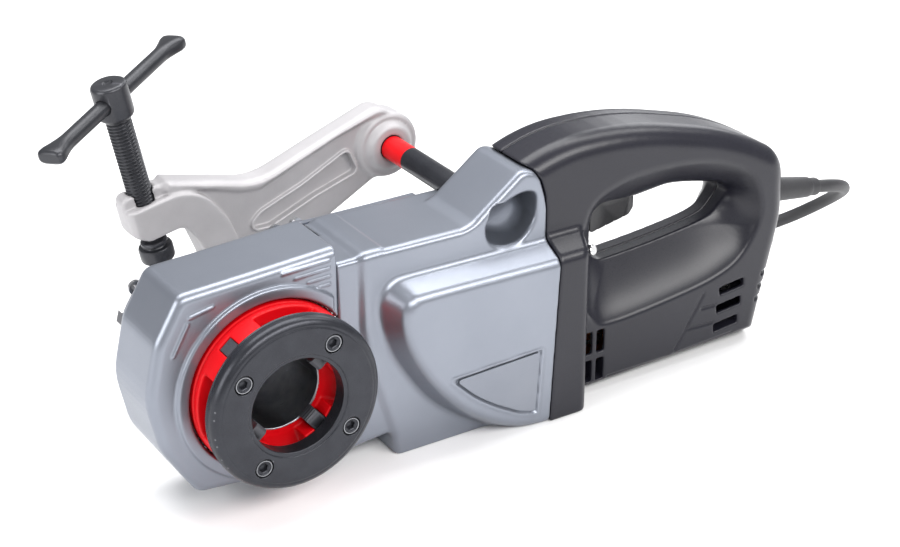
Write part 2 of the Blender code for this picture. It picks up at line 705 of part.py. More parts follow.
def die_plate():
    rim = [(45.5, PLATE_THICK), (PLATE_RADIUS, 8), (PLATE_RADIUS, 3.5), (46.3, 1.2),
           (44, 0), (PLATE_HOLE + 1, 0), (PLATE_HOLE, 1), (PLATE_HOLE, PLATE_THICK)]
    plate = turned("die_plate", rim, world(0, 0, 0), (0, 1, 0), 48, "dark_steel", closed=True)
    for number in range(4):
        x, z = on_circle(SCREW_CIRCLE, FIRST_SCREW_ANGLE + 90 * number)
        cut(plate, hole_y(f"plate_hole_{number}", x, z, 2.8, -5, 20),
            hole_y(f"plate_counterbore_{number}", x, z, 5.2, -5, 3.5, 16))
        profile = [(0, 22), (2.5, 22), (2.5, 3.2), (4.9, 3.2), (4.9, 0.3), (0, 0.3)]
        turned(f"plate_screw_{number + 1}", profile, world(x, 0, z), (0, 1, 0), 12,
               "dark_steel")


# ---------------------------------------------------------------- support clamp

JAW_SEAT = -38.0               # where the V-jaw sits in the clamp, along the spindle
EYE_RADIUS = 20.0


def clamp_frame():
    hook = rounded([
        (-18, 66, 4), (10, 66, 14), (28, 56, 14), (45, 38, 16), (50, 5, 30), (44, -36, 16),
        (28, -59, 12), (-16, -59, 7), (-22, -46, 4), (-19, JAW_SEAT, 2),
        (21.5, JAW_SEAT, 3), (28, -8, 10), (22, 26, 12), (16, 38.5, 7), (-8, 38.5, 8),
        (-18, 44, 3)])
    frame = prism("clamp_frame", tilted_outline(hook), CLAMP_FRONT, CLAMP_BACK, "clamp_grey")
    round_rims(frame, 2, 2)
    arm = prism("clamp_arm", rounded([
        (2, 66, 0), (30, 60.5, 30), (55, 54, 40), (92, 68, 60), (133, 83, 10), (150, 70, 8),
        (148, 48, 8), (128, 38, 10), (84, 14, 30), (50, -2, 0), (30, 20, 0)]),
        CLAMP_FRONT + 3, CLAMP_BACK - 3)
    round_rims(arm, 1.5, 1)
    eye = hole_y("clamp_eye", ROD_X, ROD_Z, EYE_RADIUS, CLAMP_FRONT - 2, CLAMP_BACK + 2, 32)
    join(frame, arm, eye)
    panel = [(47, 27), (62, 27), (90, 38.5), (118, 47.5), (112, 61), (83, 46.5), (56, 36)]
    cut(frame,
        prism("front_panel", panel, 100, CLAMP_FRONT + 6),
        prism("rear_panel", panel, CLAMP_BACK - 6, 200),
        hole_y("rod_seat", ROD_X, ROD_Z, ROD_RADIUS + GAP, 100, CLAMP_BACK - 2, 24),
        rod("spindle_bore", tilted(0, CLAMP_Y, 34), tilted(0, CLAMP_Y, 80),
            SPINDLE_RADIUS + GAP, 20))


def v_jaw():
    outline = [(-28, -3), (0, -30), (15, -15), (19, -15), (18.5, JAW_SEAT + GAP),
               (-16, JAW_SEAT + GAP), (-31, -9)]
    prism("v_jaw", tilted_outline(outline), CLAMP_FRONT + 2, CLAMP_BACK - 2, "dark_steel")


def guide_rod():
    profile = [(0, CLAMP_BACK - 3), (ROD_RADIUS, CLAMP_BACK - 3), (ROD_RADIUS, 52),
               (ROD_RADIUS - 1.5, 50), (0, 50)]
    turned("guide_rod", profile, world(ROD_X, 0, ROD_Z), (0, 1, 0), 24, "dark_steel")


CAP_LOW, CAP_HIGH, CAP_RADIUS = 110.0, 130.5, 9.9
BAR_W, BAR_RADIUS = 120.5, 4.4
BAR_LEFT, BAR_RIGHT = -61.0, 66.5
PAD_FACE, PAD_TOP = 21.5, 34.0


def bar_point(along, side=0.0, up=0.0):
    """A point along the T-bar, square to the spindle and turned about it."""
    u = along * math.cos(BAR_TURN) - side * math.sin(BAR_TURN)
    y = along * math.sin(BAR_TURN) + side * math.cos(BAR_TURN)
    return tilted(u, CLAMP_Y + y, BAR_W + up)


def spindle():
    axis = tilted(0, 0, 1) - tilted(0, 0, 0)
    profile = [(0, CAP_HIGH), (CAP_RADIUS - 1.5, CAP_HIGH), (CAP_RADIUS, CAP_HIGH - 1.5),
               (CAP_RADIUS, CAP_LOW + 1), (SPINDLE_RADIUS, CAP_LOW),
               (SPINDLE_RADIUS, PAD_TOP + 3), (5, PAD_TOP + GAP), (0, PAD_TOP + GAP)]
    screw = turned("clamp_spindle", profile, tilted(0, CLAMP_Y, 0), axis, 20, "dark_steel")
    cut(screw, rod("bar_hole", bar_point(-30), bar_point(30), BAR_RADIUS + GAP, 16))
    pad = [(0, PAD_TOP), (7.5, PAD_TOP), (7.5, PAD_TOP - 2.5), (9.6, PAD_TOP - 3.5),
           (9.6, PAD_FACE + 1), (8.8, PAD_FACE), (0, PAD_FACE)]
    turned("swivel_pad", pad, tilted(0, CLAMP_Y, 0), axis, 20, "dark_steel")


def t_bar():
    """A round bar whose ends are flattened and spread, so it can't leave its hole."""
    sections = [(BAR_LEFT, 7.2, 3.6), (BAR_LEFT + 3, 7.6, 4.4), (BAR_LEFT + 14, BAR_RADIUS,
                BAR_RADIUS), (BAR_RIGHT - 14, BAR_RADIUS, BAR_RADIUS),
                (BAR_RIGHT - 3, 7.6, 4.4), (BAR_RIGHT, 7.2, 3.6)]
    loops = []
    for along, half_width, half_height in sections:
        loop = []
        for k in range(12):
            angle = math.tau * k / 12
            loop.append(bar_point(along, half_width * math.cos(angle),
                                  half_height * math.sin(angle)))
        loops.append(loop)
    shade(loft("t_bar", loops, "dark_steel").data)


# ---------------------------------------------------------------- power cord

CORD_START = RELIEF_START + RELIEF_AXIS * (RELIEF_LENGTH + GAP) * MM
FLOOR = BASE_Z + CORD_RADIUS + 0.5


def cord_route():
    """Out of the relief, down behind the handle and along the floor to the coil."""
    exit_line = [CORD_START, CORD_START + RELIEF_AXIS * 12 * MM]
    bends = [(419, 62, -2), (435, 80, -16), (437, 106, -37), (421, 130, -56),
             (392, 146, FLOOR), (352, 150, FLOOR), (312, 153, FLOOR), (276, 154, FLOOR),
             (246, 154, FLOOR), (221.4, 154, FLOOR)]
    return exit_line + [world(*point) for point in bends]


def power_cord():
    relief = [(0, RELIEF_LENGTH), (5.6, RELIEF_LENGTH), (7.6, 12), (8.2, 8), (8.2, 0), (0, 0)]
    turned("strain_relief", relief, RELIEF_START, RELIEF_AXIS, 16, "rubber")
    tube("power_cord", smooth_route(cord_route(), 10 * MM), CORD_RADIUS)
    low = BASE_Z + 0.2
    inner, outer = COIL_RADIUS - COIL_HALF_WIDTH, COIL_RADIUS + COIL_HALF_WIDTH
    bottom, top = world(COIL_X, COIL_Y, low), world(COIL_X, COIL_Y, low + COIL_HEIGHT)
    ring("cord_coil", bottom, top, inner, outer, 28, "rubber")


def plug():
    """The mains plug, lying across the top of the coil, with two round pins."""
    level = BASE_Z + COIL_HEIGHT + 11
    centre_x, centre_y = COIL_X - COIL_RADIUS + 4, COIL_Y - 6
    profile = [(0, 30), (9, 30), (10.5, 26), (10.5, 8), (6, -8), (4.6, -14), (0, -14)]
    body = turned("mains_plug", profile, world(centre_x, centre_y, level), (0, 1, 0), 14,
                  "rubber")
    for side in (-1, 1):
        x = centre_x + side * 5.5
        pin = rod(f"plug_pin_{side}", world(x, centre_y + 28, level),
                  world(x, centre_y + 48, level), 2.1, 10)
        join(body, pin)


def main():
    head_housing()
    head_cover()
    gear_housing()
    gear_cover()
    cover_screws()
    label_plate()
    ring_gear()
    gear_train()
    motor()
    handle_shells()
    shell_screws()
    controls()
    die_body()
    chasers()
    die_plate()
    clamp_frame()
    v_jaw()
    guide_rod()
    spindle()
    t_bar()
    power_cord()
    plug()


main()
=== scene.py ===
"""The looks of an electric pipe threading machine: castings, plastic, steel and its cord.

Lengths are in millimetres, measured from the die axis at the die plate's front: +X runs along
the machine to the handle, +Y back along the pipe, +Z up.  place() turns them into the frame's
metres.  The castings and the handle are worked out as distance fields, negative inside a solid,
so that every edge and inner corner has its own rounding, and skin() makes the mesh of a field.
"""

import json
import math

import bmesh
import bpy
import numpy as np
from mathutils import Matrix, Vector


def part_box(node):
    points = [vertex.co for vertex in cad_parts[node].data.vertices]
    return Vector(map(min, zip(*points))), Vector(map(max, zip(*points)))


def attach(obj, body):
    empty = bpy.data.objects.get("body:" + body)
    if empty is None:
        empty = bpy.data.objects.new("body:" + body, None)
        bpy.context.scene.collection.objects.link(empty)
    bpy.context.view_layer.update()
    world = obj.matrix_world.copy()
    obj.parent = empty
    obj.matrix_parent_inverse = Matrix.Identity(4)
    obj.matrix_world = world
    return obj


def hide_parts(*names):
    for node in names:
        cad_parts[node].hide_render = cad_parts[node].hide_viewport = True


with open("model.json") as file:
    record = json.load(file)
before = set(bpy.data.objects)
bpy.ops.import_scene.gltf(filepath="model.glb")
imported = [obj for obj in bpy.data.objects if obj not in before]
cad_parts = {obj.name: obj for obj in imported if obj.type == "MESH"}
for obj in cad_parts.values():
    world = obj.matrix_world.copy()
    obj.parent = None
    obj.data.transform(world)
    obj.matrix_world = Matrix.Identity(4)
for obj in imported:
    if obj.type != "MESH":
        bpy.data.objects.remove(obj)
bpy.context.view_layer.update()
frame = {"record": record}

MM = 0.001
PLATE_LOW, PLATE_HIGH = (Vector(corner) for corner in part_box("die_plate"))
DIE_AXIS = Vector(((PLATE_LOW.x + PLATE_HIGH.x) / 2, PLATE_LOW.y,
                   (PLATE_LOW.z + PLATE_HIGH.z) / 2))
BASE_Z = -DIE_AXIS.z / MM
BODY_OF = {node: body for body, nodes in frame["record"]["behaviour"]["bodies"].items()
           for node in nodes}

# The same dimensions as the solids have.
FRONT, HEAD_BACK, BLOCK_BACK, BOSS_FRONT, MID_Y = 28.0, 72.0, 84.0, 13.0, 56.0
HEAD_RIGHT, BLOCK_LEFT = 39.0, 40.3
PLATE_RADIUS, PLATE_HOLE, PLATE_THICK = 47.5, 26.0, 10.0
SCREW_CIRCLE, FIRST_SCREW_ANGLE, FIRST_CHASER_ANGLE = 36.0, 55.0, 40.0
DIE_RADIUS, FLANGE_FRONT, FLANGE_BACK, HUB_BACK, HUB_RADIUS = 46.0, 21.0, 31.0, 68.0, 36.1
PIPE_BORE = 22.0
ROD_X, ROD_Z, ROD_RADIUS = 138.0, 59.0, 7.0
RED_BAND_FRONT, RED_BAND_BACK = 118.8, 139.2
CLAMP_FRONT, CLAMP_BACK, CLAMP_Y = 141.0, 163.0, 152.0
CLAMP_TILT = math.radians(11.5)
BAR_TURN = math.radians(33.4)
MOTOR_Z = -36.0
CORD_RADIUS = 4.0
BEARING_SEAT, SCREW_BORE = 50.4, 2.3
HEAD_COVER, BLOCK_COVER = 4.0, 3.5
GAP = 0.3

# The camera: its place from the die axis, and its turn and tip in degrees.
CAMERA_AT, CAMERA_TURN, CAMERA_TIP = (-397.93, -767.52, 500.86), 32.371, 26.367


def place(x, y, z):
    return DIE_AXIS + Vector((x, y, z)) * MM


# ---------------- camera, floor and light

def new_object(name, data):
    obj = bpy.data.objects.new(name, data)
    bpy.context.scene.collection.objects.link(obj)
    return obj


def look_from(position, turn_degrees, tip_degrees):
    data = bpy.data.cameras.new("camera")
    data.lens, data.sensor_width = 80.0, 36.0
    data.clip_start, data.clip_end = 0.05, 20.0
    camera = new_object("camera", data)
    camera.location = position
    camera.rotation_euler = (math.radians(90 - tip_degrees), 0, math.radians(-turn_degrees))
    bpy.context.scene.camera = camera


def softbox(name, position, target, width, height, watts, tint=(1, 1, 1)):
    data = bpy.data.lights.new(name, "AREA")
    data.shape, data.size, data.size_y = "RECTANGLE", width, height
    data.energy, data.color = watts, tint
    lamp = new_object(name, data)
    lamp.location = position
    lamp.rotation_euler = (Vector(target) - Vector(position)).to_track_quat("-Z", "Y").to_euler()


def light_studio():
    world = bpy.data.worlds.new("studio")
    world.use_nodes = True
    background = world.node_tree.nodes["Background"]
    background.inputs["Color"].default_value = (0.95, 0.96, 1.0, 1.0)
    background.inputs["Strength"].default_value = 0.45
    bpy.context.scene.world = world
    middle = (0, 0, 0.08)
    softbox("overhead", (0.0, 0.35, 1.30), middle, 1.4, 0.8, 22)
    softbox("front", (0.15, -1.10, 0.92), middle, 1.7, 0.42, 23, (1.0, 0.99, 0.98))
    softbox("right_top", (0.80, -0.05, 1.10), (0.1, 0, 0.05), 0.35, 0.8, 5)
    softbox("left", (-1.7, -0.1, 0.7), middle, 1.0, 0.9, 17)
    softbox("right_back", (1.3, 0.9, 0.8), middle, 0.7, 0.9, 6, (0.97, 0.98, 1.0))
    bpy.context.scene.view_settings.view_transform = "Standard"


# ---------------- materials

def new_material(name):
    made = bpy.data.materials.new(name)
    made.use_nodes = True
    return made, made.node_tree.nodes, made.node_tree.links


def add_noise(nodes, links, size_mm, detail=3.0, stretch=(1, 1, 1)):
    """A noise whose grains are size_mm across, longer by stretch along each axis."""
    where = nodes.new("ShaderNodeTexCoord")
    scale = nodes.new("ShaderNodeMapping")
    scale.inputs["Scale"].default_value = [1 / (size_mm * MM * s) for s in stretch]
    noise = nodes.new("ShaderNodeTexNoise")
    noise.inputs["Scale"].default_value = 1.0
    noise.inputs["Detail"].default_value = detail
    noise.inputs["Roughness"].default_value = 0.55
    links.new(where.outputs["Object"], scale.inputs["Vector"])
    links.new(scale.outputs["Vector"], noise.inputs["Vector"])
    return noise


def spread(nodes, links, source, low, high):
    """The noise's middle range mapped onto low to high."""
    ramp = nodes.new("ShaderNodeMapRange")
    ramp.inputs["From Min"].default_value = 0.3
    ramp.inputs["From Max"].default_value = 0.7
    ramp.inputs["To Min"].default_value = low
    ramp.inputs["To Max"].default_value = high
    links.new(source, ramp.inputs["Value"])
    return ramp.outputs["Result"]


def mixed(nodes, links, factor, first, second):
    """A colour between two, by factor; each is a colour or a socket."""
    mix = nodes.new("ShaderNodeMix")
    mix.data_type = "RGBA"
    links.new(factor, mix.inputs["Factor"])
    for socket, value in (("A", first), ("B", second)):
        entry = next(i for i in mix.inputs if i.name == socket and i.type == "RGBA")
        if isinstance(value, tuple):
            entry.default_value = (*value, 1.0)
        else:
            links.new(value, entry)
    return next(o for o in mix.outputs if o.type == "RGBA")


def surface(name, colour, shade, roughness, metallic=0.0, grain=0.8, height=0.01,
            cloud=25.0, stretch=(1, 1, 1), gloss=0.06, edge_wear_and_sheen=None, specular=0.5):
    """A finish: two close colours in soft clouds, a fine grain in relief and in its gloss, and
    sharp edges lightened towards the edge colour: partly worn edges, partly a painted highlight."""
    made, nodes, links = new_material(name)
    shader = nodes["Principled BSDF"]
    shader.inputs["Metallic"].default_value = metallic
    shader.inputs["Specular IOR Level"].default_value = specular
    clouds = add_noise(nodes, links, cloud, 4.0)
    fine = add_noise(nodes, links, grain, 4.0, stretch)
    factor = spread(nodes, links, clouds.outputs["Fac"], 0.0, 1.0)
    tint = mixed(nodes, links, factor, colour, shade)
    # Sharp convex edges, found by pointiness, are lightened: partly worn edges, partly a painted
    # edge highlight.
    if edge_wear_and_sheen:
        geometry = nodes.new("ShaderNodeNewGeometry")
        edge = nodes.new("ShaderNodeMapRange")
        edge.inputs["From Min"].default_value = 0.53
        edge.inputs["From Max"].default_value = 0.62
        links.new(geometry.outputs["Pointiness"], edge.inputs["Value"])
        worn_and_sheen_share = nodes.new("ShaderNodeMath")
        worn_and_sheen_share.operation = "MULTIPLY"
        links.new(edge.outputs["Result"], worn_and_sheen_share.inputs[0])
        links.new(spread(nodes, links, fine.outputs["Fac"], 0.35, 0.9), worn_and_sheen_share.inputs[1])
        tint = mixed(nodes, links, worn_and_sheen_share.outputs["Value"], tint, edge_wear_and_sheen)
    links.new(tint, shader.inputs["Base Color"])
    links.new(spread(nodes, links, fine.outputs["Fac"], roughness - gloss, roughness + gloss),
              shader.inputs["Roughness"])
    bump = nodes.new("ShaderNodeBump")
    bump.inputs["Strength"].default_value = 1.0
    bump.inputs["Distance"].default_value = height * MM
    links.new(fine.outputs["Fac"], bump.inputs["Height"])
    links.new(bump.outputs["Normal"], shader.inputs["Normal"])
    return made


# The lighter edge colour that some finishes get is partly wear and partly a painted edge
# highlight.
FINISHES = {
    "silver": surface("silver_coating", (0.215, 0.232, 0.270), (0.240, 0.258, 0.298), 0.36,
                      0.78, grain=0.45, height=0.014, cloud=60, gloss=0.05,
                      edge_wear_and_sheen=(0.62, 0.64, 0.68)),
    "silver_cover": surface("silver_cover_coating", (0.215, 0.232, 0.270),
                            (0.240, 0.258, 0.298), 0.36, 0.78, grain=0.45, height=0.014,
                            cloud=60, gloss=0.05),
    "casting": surface("grey_casting", (0.365, 0.355, 0.365), (0.41, 0.40, 0.41), 0.50, 0.2,
                       grain=0.9, height=0.06, cloud=18, edge_wear_and_sheen=(0.55, 0.545, 0.55)),
    "red": surface("red_paint", (0.62, 0.0, 0.004), (0.55, 0.0, 0.003), 0.42, 0.0,
                   grain=1.2, height=0.012, cloud=20, specular=0.25,
                   edge_wear_and_sheen=(0.78, 0.01, 0.015)),
    "oxide": surface("blackened_steel", (0.022, 0.023, 0.029), (0.030, 0.032, 0.039), 0.32,
                     0.6, grain=0.5, height=0.012, cloud=12, edge_wear_and_sheen=(0.17, 0.175, 0.19)),
    "oxide_dark": surface("black_steel", (0.020, 0.021, 0.025), (0.030, 0.031, 0.036), 0.33,
                          0.4, grain=0.6, height=0.015, cloud=10, edge_wear_and_sheen=(0.10, 0.10, 0.115)),
    "plastic": surface("charcoal_plastic", (0.009, 0.009, 0.014), (0.012, 0.012, 0.018), 0.31,
                       0.0, grain=0.35, height=0.010, cloud=45, specular=0.38),
    "black_plastic": surface("black_plastic", (0.012, 0.012, 0.014), (0.018, 0.018, 0.020),
                             0.42, grain=0.5, height=0.012),
    "rubber": surface("black_rubber", (0.016, 0.016, 0.018), (0.025, 0.025, 0.028), 0.52,
                      grain=0.7, height=0.02, cloud=15),
    "steel": surface("turned_steel", (0.40, 0.40, 0.41), (0.47, 0.47, 0.48), 0.30, 1.0,
                     grain=0.4, height=0.006, cloud=8, stretch=(1, 12, 12)),
    "bore": surface("bored_steel", (0.20, 0.205, 0.22), (0.30, 0.305, 0.32), 0.33, 1.0,
                    grain=0.5, height=0.015, cloud=9, stretch=(10, 1, 10)),
    "chrome": surface("bright_steel", (0.60, 0.60, 0.61), (0.70, 0.70, 0.70), 0.18, 1.0,
                      grain=0.5, height=0.003, cloud=6),
    "plate": surface("blank_plate", (0.20, 0.215, 0.25), (0.22, 0.235, 0.27), 0.42, 0.65,
                     grain=0.25, height=0.006, cloud=30, stretch=(20, 1, 1)),
    "copper": surface("copper_wire", (0.55, 0.20, 0.08), (0.66, 0.28, 0.12), 0.3, 1.0,
                      grain=0.6, height=0.05, cloud=5, stretch=(10, 1, 1)),
    "carbon": surface("carbon_block", (0.015, 0.015, 0.016), (0.03, 0.03, 0.03), 0.6,
                      grain=0.4, height=0.03, cloud=4),
    "iron": surface("laminated_iron", (0.20, 0.20, 0.21), (0.28, 0.28, 0.29), 0.4, 1.0,
                    grain=0.5, height=0.05, cloud=9, stretch=(1, 20, 20)),
}


# ---------------- meshes and pieces

def mesh_object(name, mesh, finish):
    mesh.materials.append(FINISHES[finish])
    return new_object(name, mesh)


def from_lists(name, points, faces, finish, smooth=True, sharp=30):
    """A mesh object of points in millimetres."""
    mesh = bpy.data.meshes.new(name)
    placed = np.asarray(points, dtype=np.float64) * MM + np.array(DIE_AXIS)
    mesh.from_pydata(placed.tolist(), [], faces if isinstance(faces, list) else faces.tolist())
    if smooth:
        mesh.shade_smooth()
        if sharp:
            mesh.set_sharp_from_angle(angle=math.radians(sharp))
    return mesh_object(name, mesh, finish)


def stands_for(obj, *nodes):
    """The piece takes the place of its CAD nodes and moves with them."""
    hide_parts(*nodes)
    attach(obj, BODY_OF[nodes[0]])
    return obj


def belongs_to(obj, node):
    """A detail that moves with a node without taking its place."""
    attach(obj, BODY_OF[node])
    return obj


def settle(obj):
    """Applies the piece's modifiers."""
    graph = bpy.context.evaluated_depsgraph_get()
    graph.update()
    obj.data = bpy.data.meshes.new_from_object(obj.evaluated_get(graph))
    obj.modifiers.clear()


def trim(obj, tool, operation="DIFFERENCE"):
    """Cuts the tool away from the piece, or joins it on, and removes the tool."""
    step = obj.modifiers.new("trim", "BOOLEAN")
    step.operation, step.solver, step.object = operation, "EXACT", tool
    settle(obj)
    bpy.data.objects.remove(tool, do_unlink=True)


def soften(obj, width, segments=2, limit=35):
    bevel = obj.modifiers.new("edges", "BEVEL")
    bevel.width, bevel.segments = width * MM, segments
    bevel.limit_method, bevel.angle_limit = "ANGLE", math.radians(limit)
    settle(obj)
    obj.data.shade_smooth()
    obj.data.set_sharp_from_angle(angle=math.radians(40))
    weigh(obj)


def weigh(obj):
    """Keeps wide flat faces flat in the shading."""
    normals = obj.modifiers.new("normals", "WEIGHTED_NORMAL")
    normals.keep_sharp = True
    settle(obj)


def frame_of(axis):
    """Two unit vectors square to the axis, and the axis."""
    along = Vector(axis).normalized()
    side = along.cross(Vector((0, 0, 1)) if abs(along.z) < 0.9 else Vector((0, 1, 0)))
    side.normalize()
    return side, along.cross(side), along


def lathe(name, profile, start, axis, finish, steps=72, sharp=30):
    """A profile of (radius, height) turned about the axis; a radius of 0 closes an end, and a
    profile that ends where it starts is a ring."""
    side, up, along = frame_of(axis)
    closed = profile[0] == profile[-1]
    rows = profile[:-1] if closed else profile
    points, loops = [], []
    for radius, height in rows:
        centre = Vector(start) + along * height
        if radius == 0:
            loops.append([len(points)] * steps)
            points.append(centre)
            continue
        loops.append(list(range(len(points), len(points) + steps)))
        for k in range(steps):
            turn = math.tau * k / steps
            points.append(centre + (side * math.cos(turn) + up * math.sin(turn)) * radius)
    pairs = list(zip(loops, loops[1:]))
    if closed:
        pairs.append((loops[-1], loops[0]))
    faces = []
    for near, far in pairs:
        for k in range(steps):
            m = (k + 1) % steps
            corners = [near[k], near[m], far[m], far[k]]
            face = list(dict.fromkeys(corners))
            if len(face) > 2:
                faces.append(face)
    obj = from_lists(name, points, faces, finish, sharp=sharp)
    outward(obj)
    return obj


def solid_profile(radius, low, high):
    return [(0, low), (radius, low), (radius, high), (0, high)]


def ring_profile(inner, outer, low, high):
    return [(inner, low), (outer, low), (outer, high), (inner, high), (inner, low)]


def shaft_profile(radius, low, high):
    """A plain shaft with its ends chamfered."""
    return [(0, low), (radius - 0.5, low), (radius, low + 0.5), (radius, high - 0.5),
            (radius - 0.5, high), (0, high)]


def outward(obj):
    tidy = bmesh.new()
    tidy.from_mesh(obj.data)
    bmesh.ops.recalc_face_normals(tidy, faces=tidy.faces)
    tidy.to_mesh(obj.data)
    tidy.free()


def walls(rows, count, closed=False):
    """Faces between each loop of count points and the next; closed joins the last to the first."""
    faces = []
    for row in range(rows if closed else rows - 1):
        a, b = row * count, (row + 1) % rows * count
        for k in range(count):
            m = (k + 1) % count
            faces.append([a + k, a + m, b + m, b + k])
    return faces


def skinned(name, loops, finish, sharp=30):
    """A solid over loops of points in millimetres, with flat ends."""
    count = len(loops[0])
    points = [point for loop in loops for point in loop]
    faces = walls(len(loops), count)
    faces.append(list(range(count)))
    faces.append([(len(loops) - 1) * count + k for k in range(count)])
    obj = from_lists(name, points, faces, finish, sharp=sharp)
    outward(obj)
    return obj


def slab(name, outline, front, back, finish, sharp=30):
    """An outline of (x, z) points with its thickness along Y."""
    return skinned(name, [[(x, y, z) for x, z in outline] for y in (front, back)], finish, sharp)


def rounded(corners, step=math.radians(8)):
    """The outline through corners (x, z, radius), with each corner turned on its radius."""
    points = []
    count = len(corners)
    for i, (x, z, radius) in enumerate(corners):
        corner = Vector((x, z))
        before = (Vector(corners[i - 1][:2]) - corner).normalized()
        after = (Vector(corners[(i + 1) % count][:2]) - corner).normalized()
        opening = before.angle(after)
        if radius == 0 or opening > math.pi - 0.01:
            points.append((x, z))
            continue
        centre = corner + (before + after).normalized() * radius / math.sin(opening / 2)
        start = corner + before * radius / math.tan(opening / 2) - centre
        end = corner + after * radius / math.tan(opening / 2) - centre
        sweep = math.atan2(start.x * end.y - start.y * end.x, start.dot(end))
        steps = max(1, math.ceil(abs(sweep) / step))
        for k in range(steps + 1):
            arm = Matrix.Rotation(sweep * k / steps, 2) @ start
            points.append(tuple(centre + arm))
    return points


def curve_point(a, b, c, d, t):
    """The Catmull-Rom curve's point at t of its way from b to c."""
    return (2 * b + (c - a) * t + (2 * a - 5 * b + 4 * c - d) * t ** 2
            + (3 * b - a - 3 * c + d) * t ** 3) / 2


def smooth_loop(points, per_span=6):
    """A closed Catmull-Rom curve through the points."""
    count = len(points)
    found = []
    for i in range(count):
        a, b, c, d = (Vector(points[(i + k) % count]) for k in (-1, 0, 1, 2))
        found += [tuple(curve_point(a, b, c, d, k / per_span)) for k in range(per_span)]
    return found


def on_circle(radius, degrees):
    angle = math.radians(degrees)
    return radius * math.cos(angle), radius * math.sin(angle)


# ---------------- distance fields

def both(a, b, radius=0.0):
    """Where a and b meet, with the edge between them rounded."""
    if radius == 0:
        return np.maximum(a, b)
    corner = np.sqrt(np.maximum(a + radius, 0) ** 2 + np.maximum(b + radius, 0) ** 2)
    return np.minimum(np.maximum(a, b), -radius) + corner


def either(a, b, radius=0.0):
    """a and b together, with the inner corner between them filled in."""
    return -both(-a, -b, radius)


def without(a, b, radius=0.0):
    return both(a, -b, radius)


class Space:
    """A block of points one step apart, with distances worked out over all of them."""

    def __init__(self, low, high, step):
        self.low, self.step = np.array(low, dtype=np.float64), step
        axes = [np.arange(l, h + step, step, dtype=np.float32) for l, h in zip(low, high)]
        self.x, self.y, self.z = np.meshgrid(*axes, indexing="ij", sparse=True)

    def outline(self, points, turn=0.0):
        """Distance to an outline of (x, z) points, the same at every y."""
        x = self.x * math.cos(turn) + self.z * math.sin(turn)
        z = self.z * math.cos(turn) - self.x * math.sin(turn)
        nearest = np.full(np.broadcast(x, z).shape, 1e12, dtype=np.float32)
        inside = np.zeros(nearest.shape, dtype=bool)
        for (ax, az), (bx, bz) in zip(points, points[1:] + points[:1]):
            ex, ez = bx - ax, bz - az
            along = ((x - ax) * ex + (z - az) * ez) / (ex * ex + ez * ez)
            along = np.clip(along, 0, 1)
            away = (x - ax - ex * along) ** 2 + (z - az - ez * along) ** 2
            nearest = np.minimum(nearest, away)
            if az != bz:
                crosses = ((az > z) != (bz > z)) & (x < ex * (z - az) / ez + ax)
                inside ^= crosses
        return np.where(inside, -1, 1) * np.sqrt(nearest)

    def between(self, front, back):
        return np.maximum(front - self.y, self.y - back)

    def along_y(self, x, z, radius):
        return np.sqrt((self.x - x) ** 2 + (self.z - z) ** 2) - radius

    def along_x(self, y, z, radius):
        return np.sqrt((self.y - y) ** 2 + (self.z - z) ** 2) - radius

    def radius(self):
        return np.sqrt(self.x ** 2 + self.z ** 2)

    def bar(self, start, end, radius):
        """A round-ended bar from start to end."""
        ends = np.array(start, dtype=np.float64), np.array(end, dtype=np.float64)
        run = ends[1] - ends[0]
        t = ((self.x - ends[0][0]) * run[0] + (self.y - ends[0][1]) * run[1]
             + (self.z - ends[0][2]) * run[2]) / (run @ run)
        t = np.clip(t, 0, 1)
        away = ((self.x - ends[0][0] - run[0] * t) ** 2 + (self.y - ends[0][1] - run[1] * t) ** 2
                + (self.z - ends[0][2] - run[2] * t) ** 2)
        return np.sqrt(away) - radius

    def box(self, low, high, radius=0.0, lean=0.0):
        """A box, tipped up towards +X by lean, with its edges rounded."""
        cx, cy, cz = ((l + h) / 2 for l, h in zip(low, high))
        hx, hy, hz = ((h - l) / 2 - radius for l, h in zip(low, high))
        dx, dz = self.x - cx, self.z - cz
        u = np.abs(dx * math.cos(lean) + dz * math.sin(lean)) - hx
        w = np.abs(dz * math.cos(lean) - dx * math.sin(lean)) - hz
        v = np.abs(self.y - cy) - hy
        far = np.sqrt(np.maximum(u, 0) ** 2 + np.maximum(v, 0) ** 2 + np.maximum(w, 0) ** 2)
        return far + np.minimum(np.maximum(np.maximum(u, v), w), 0) - radius


CORNERS = [(i, j, k) for i in (0, 1) for j in (0, 1) for k in (0, 1)]
EDGES = [(a, b) for a in CORNERS for b in CORNERS
         if sum(abs(p - q) for p, q in zip(a, b)) == 1 and a < b]


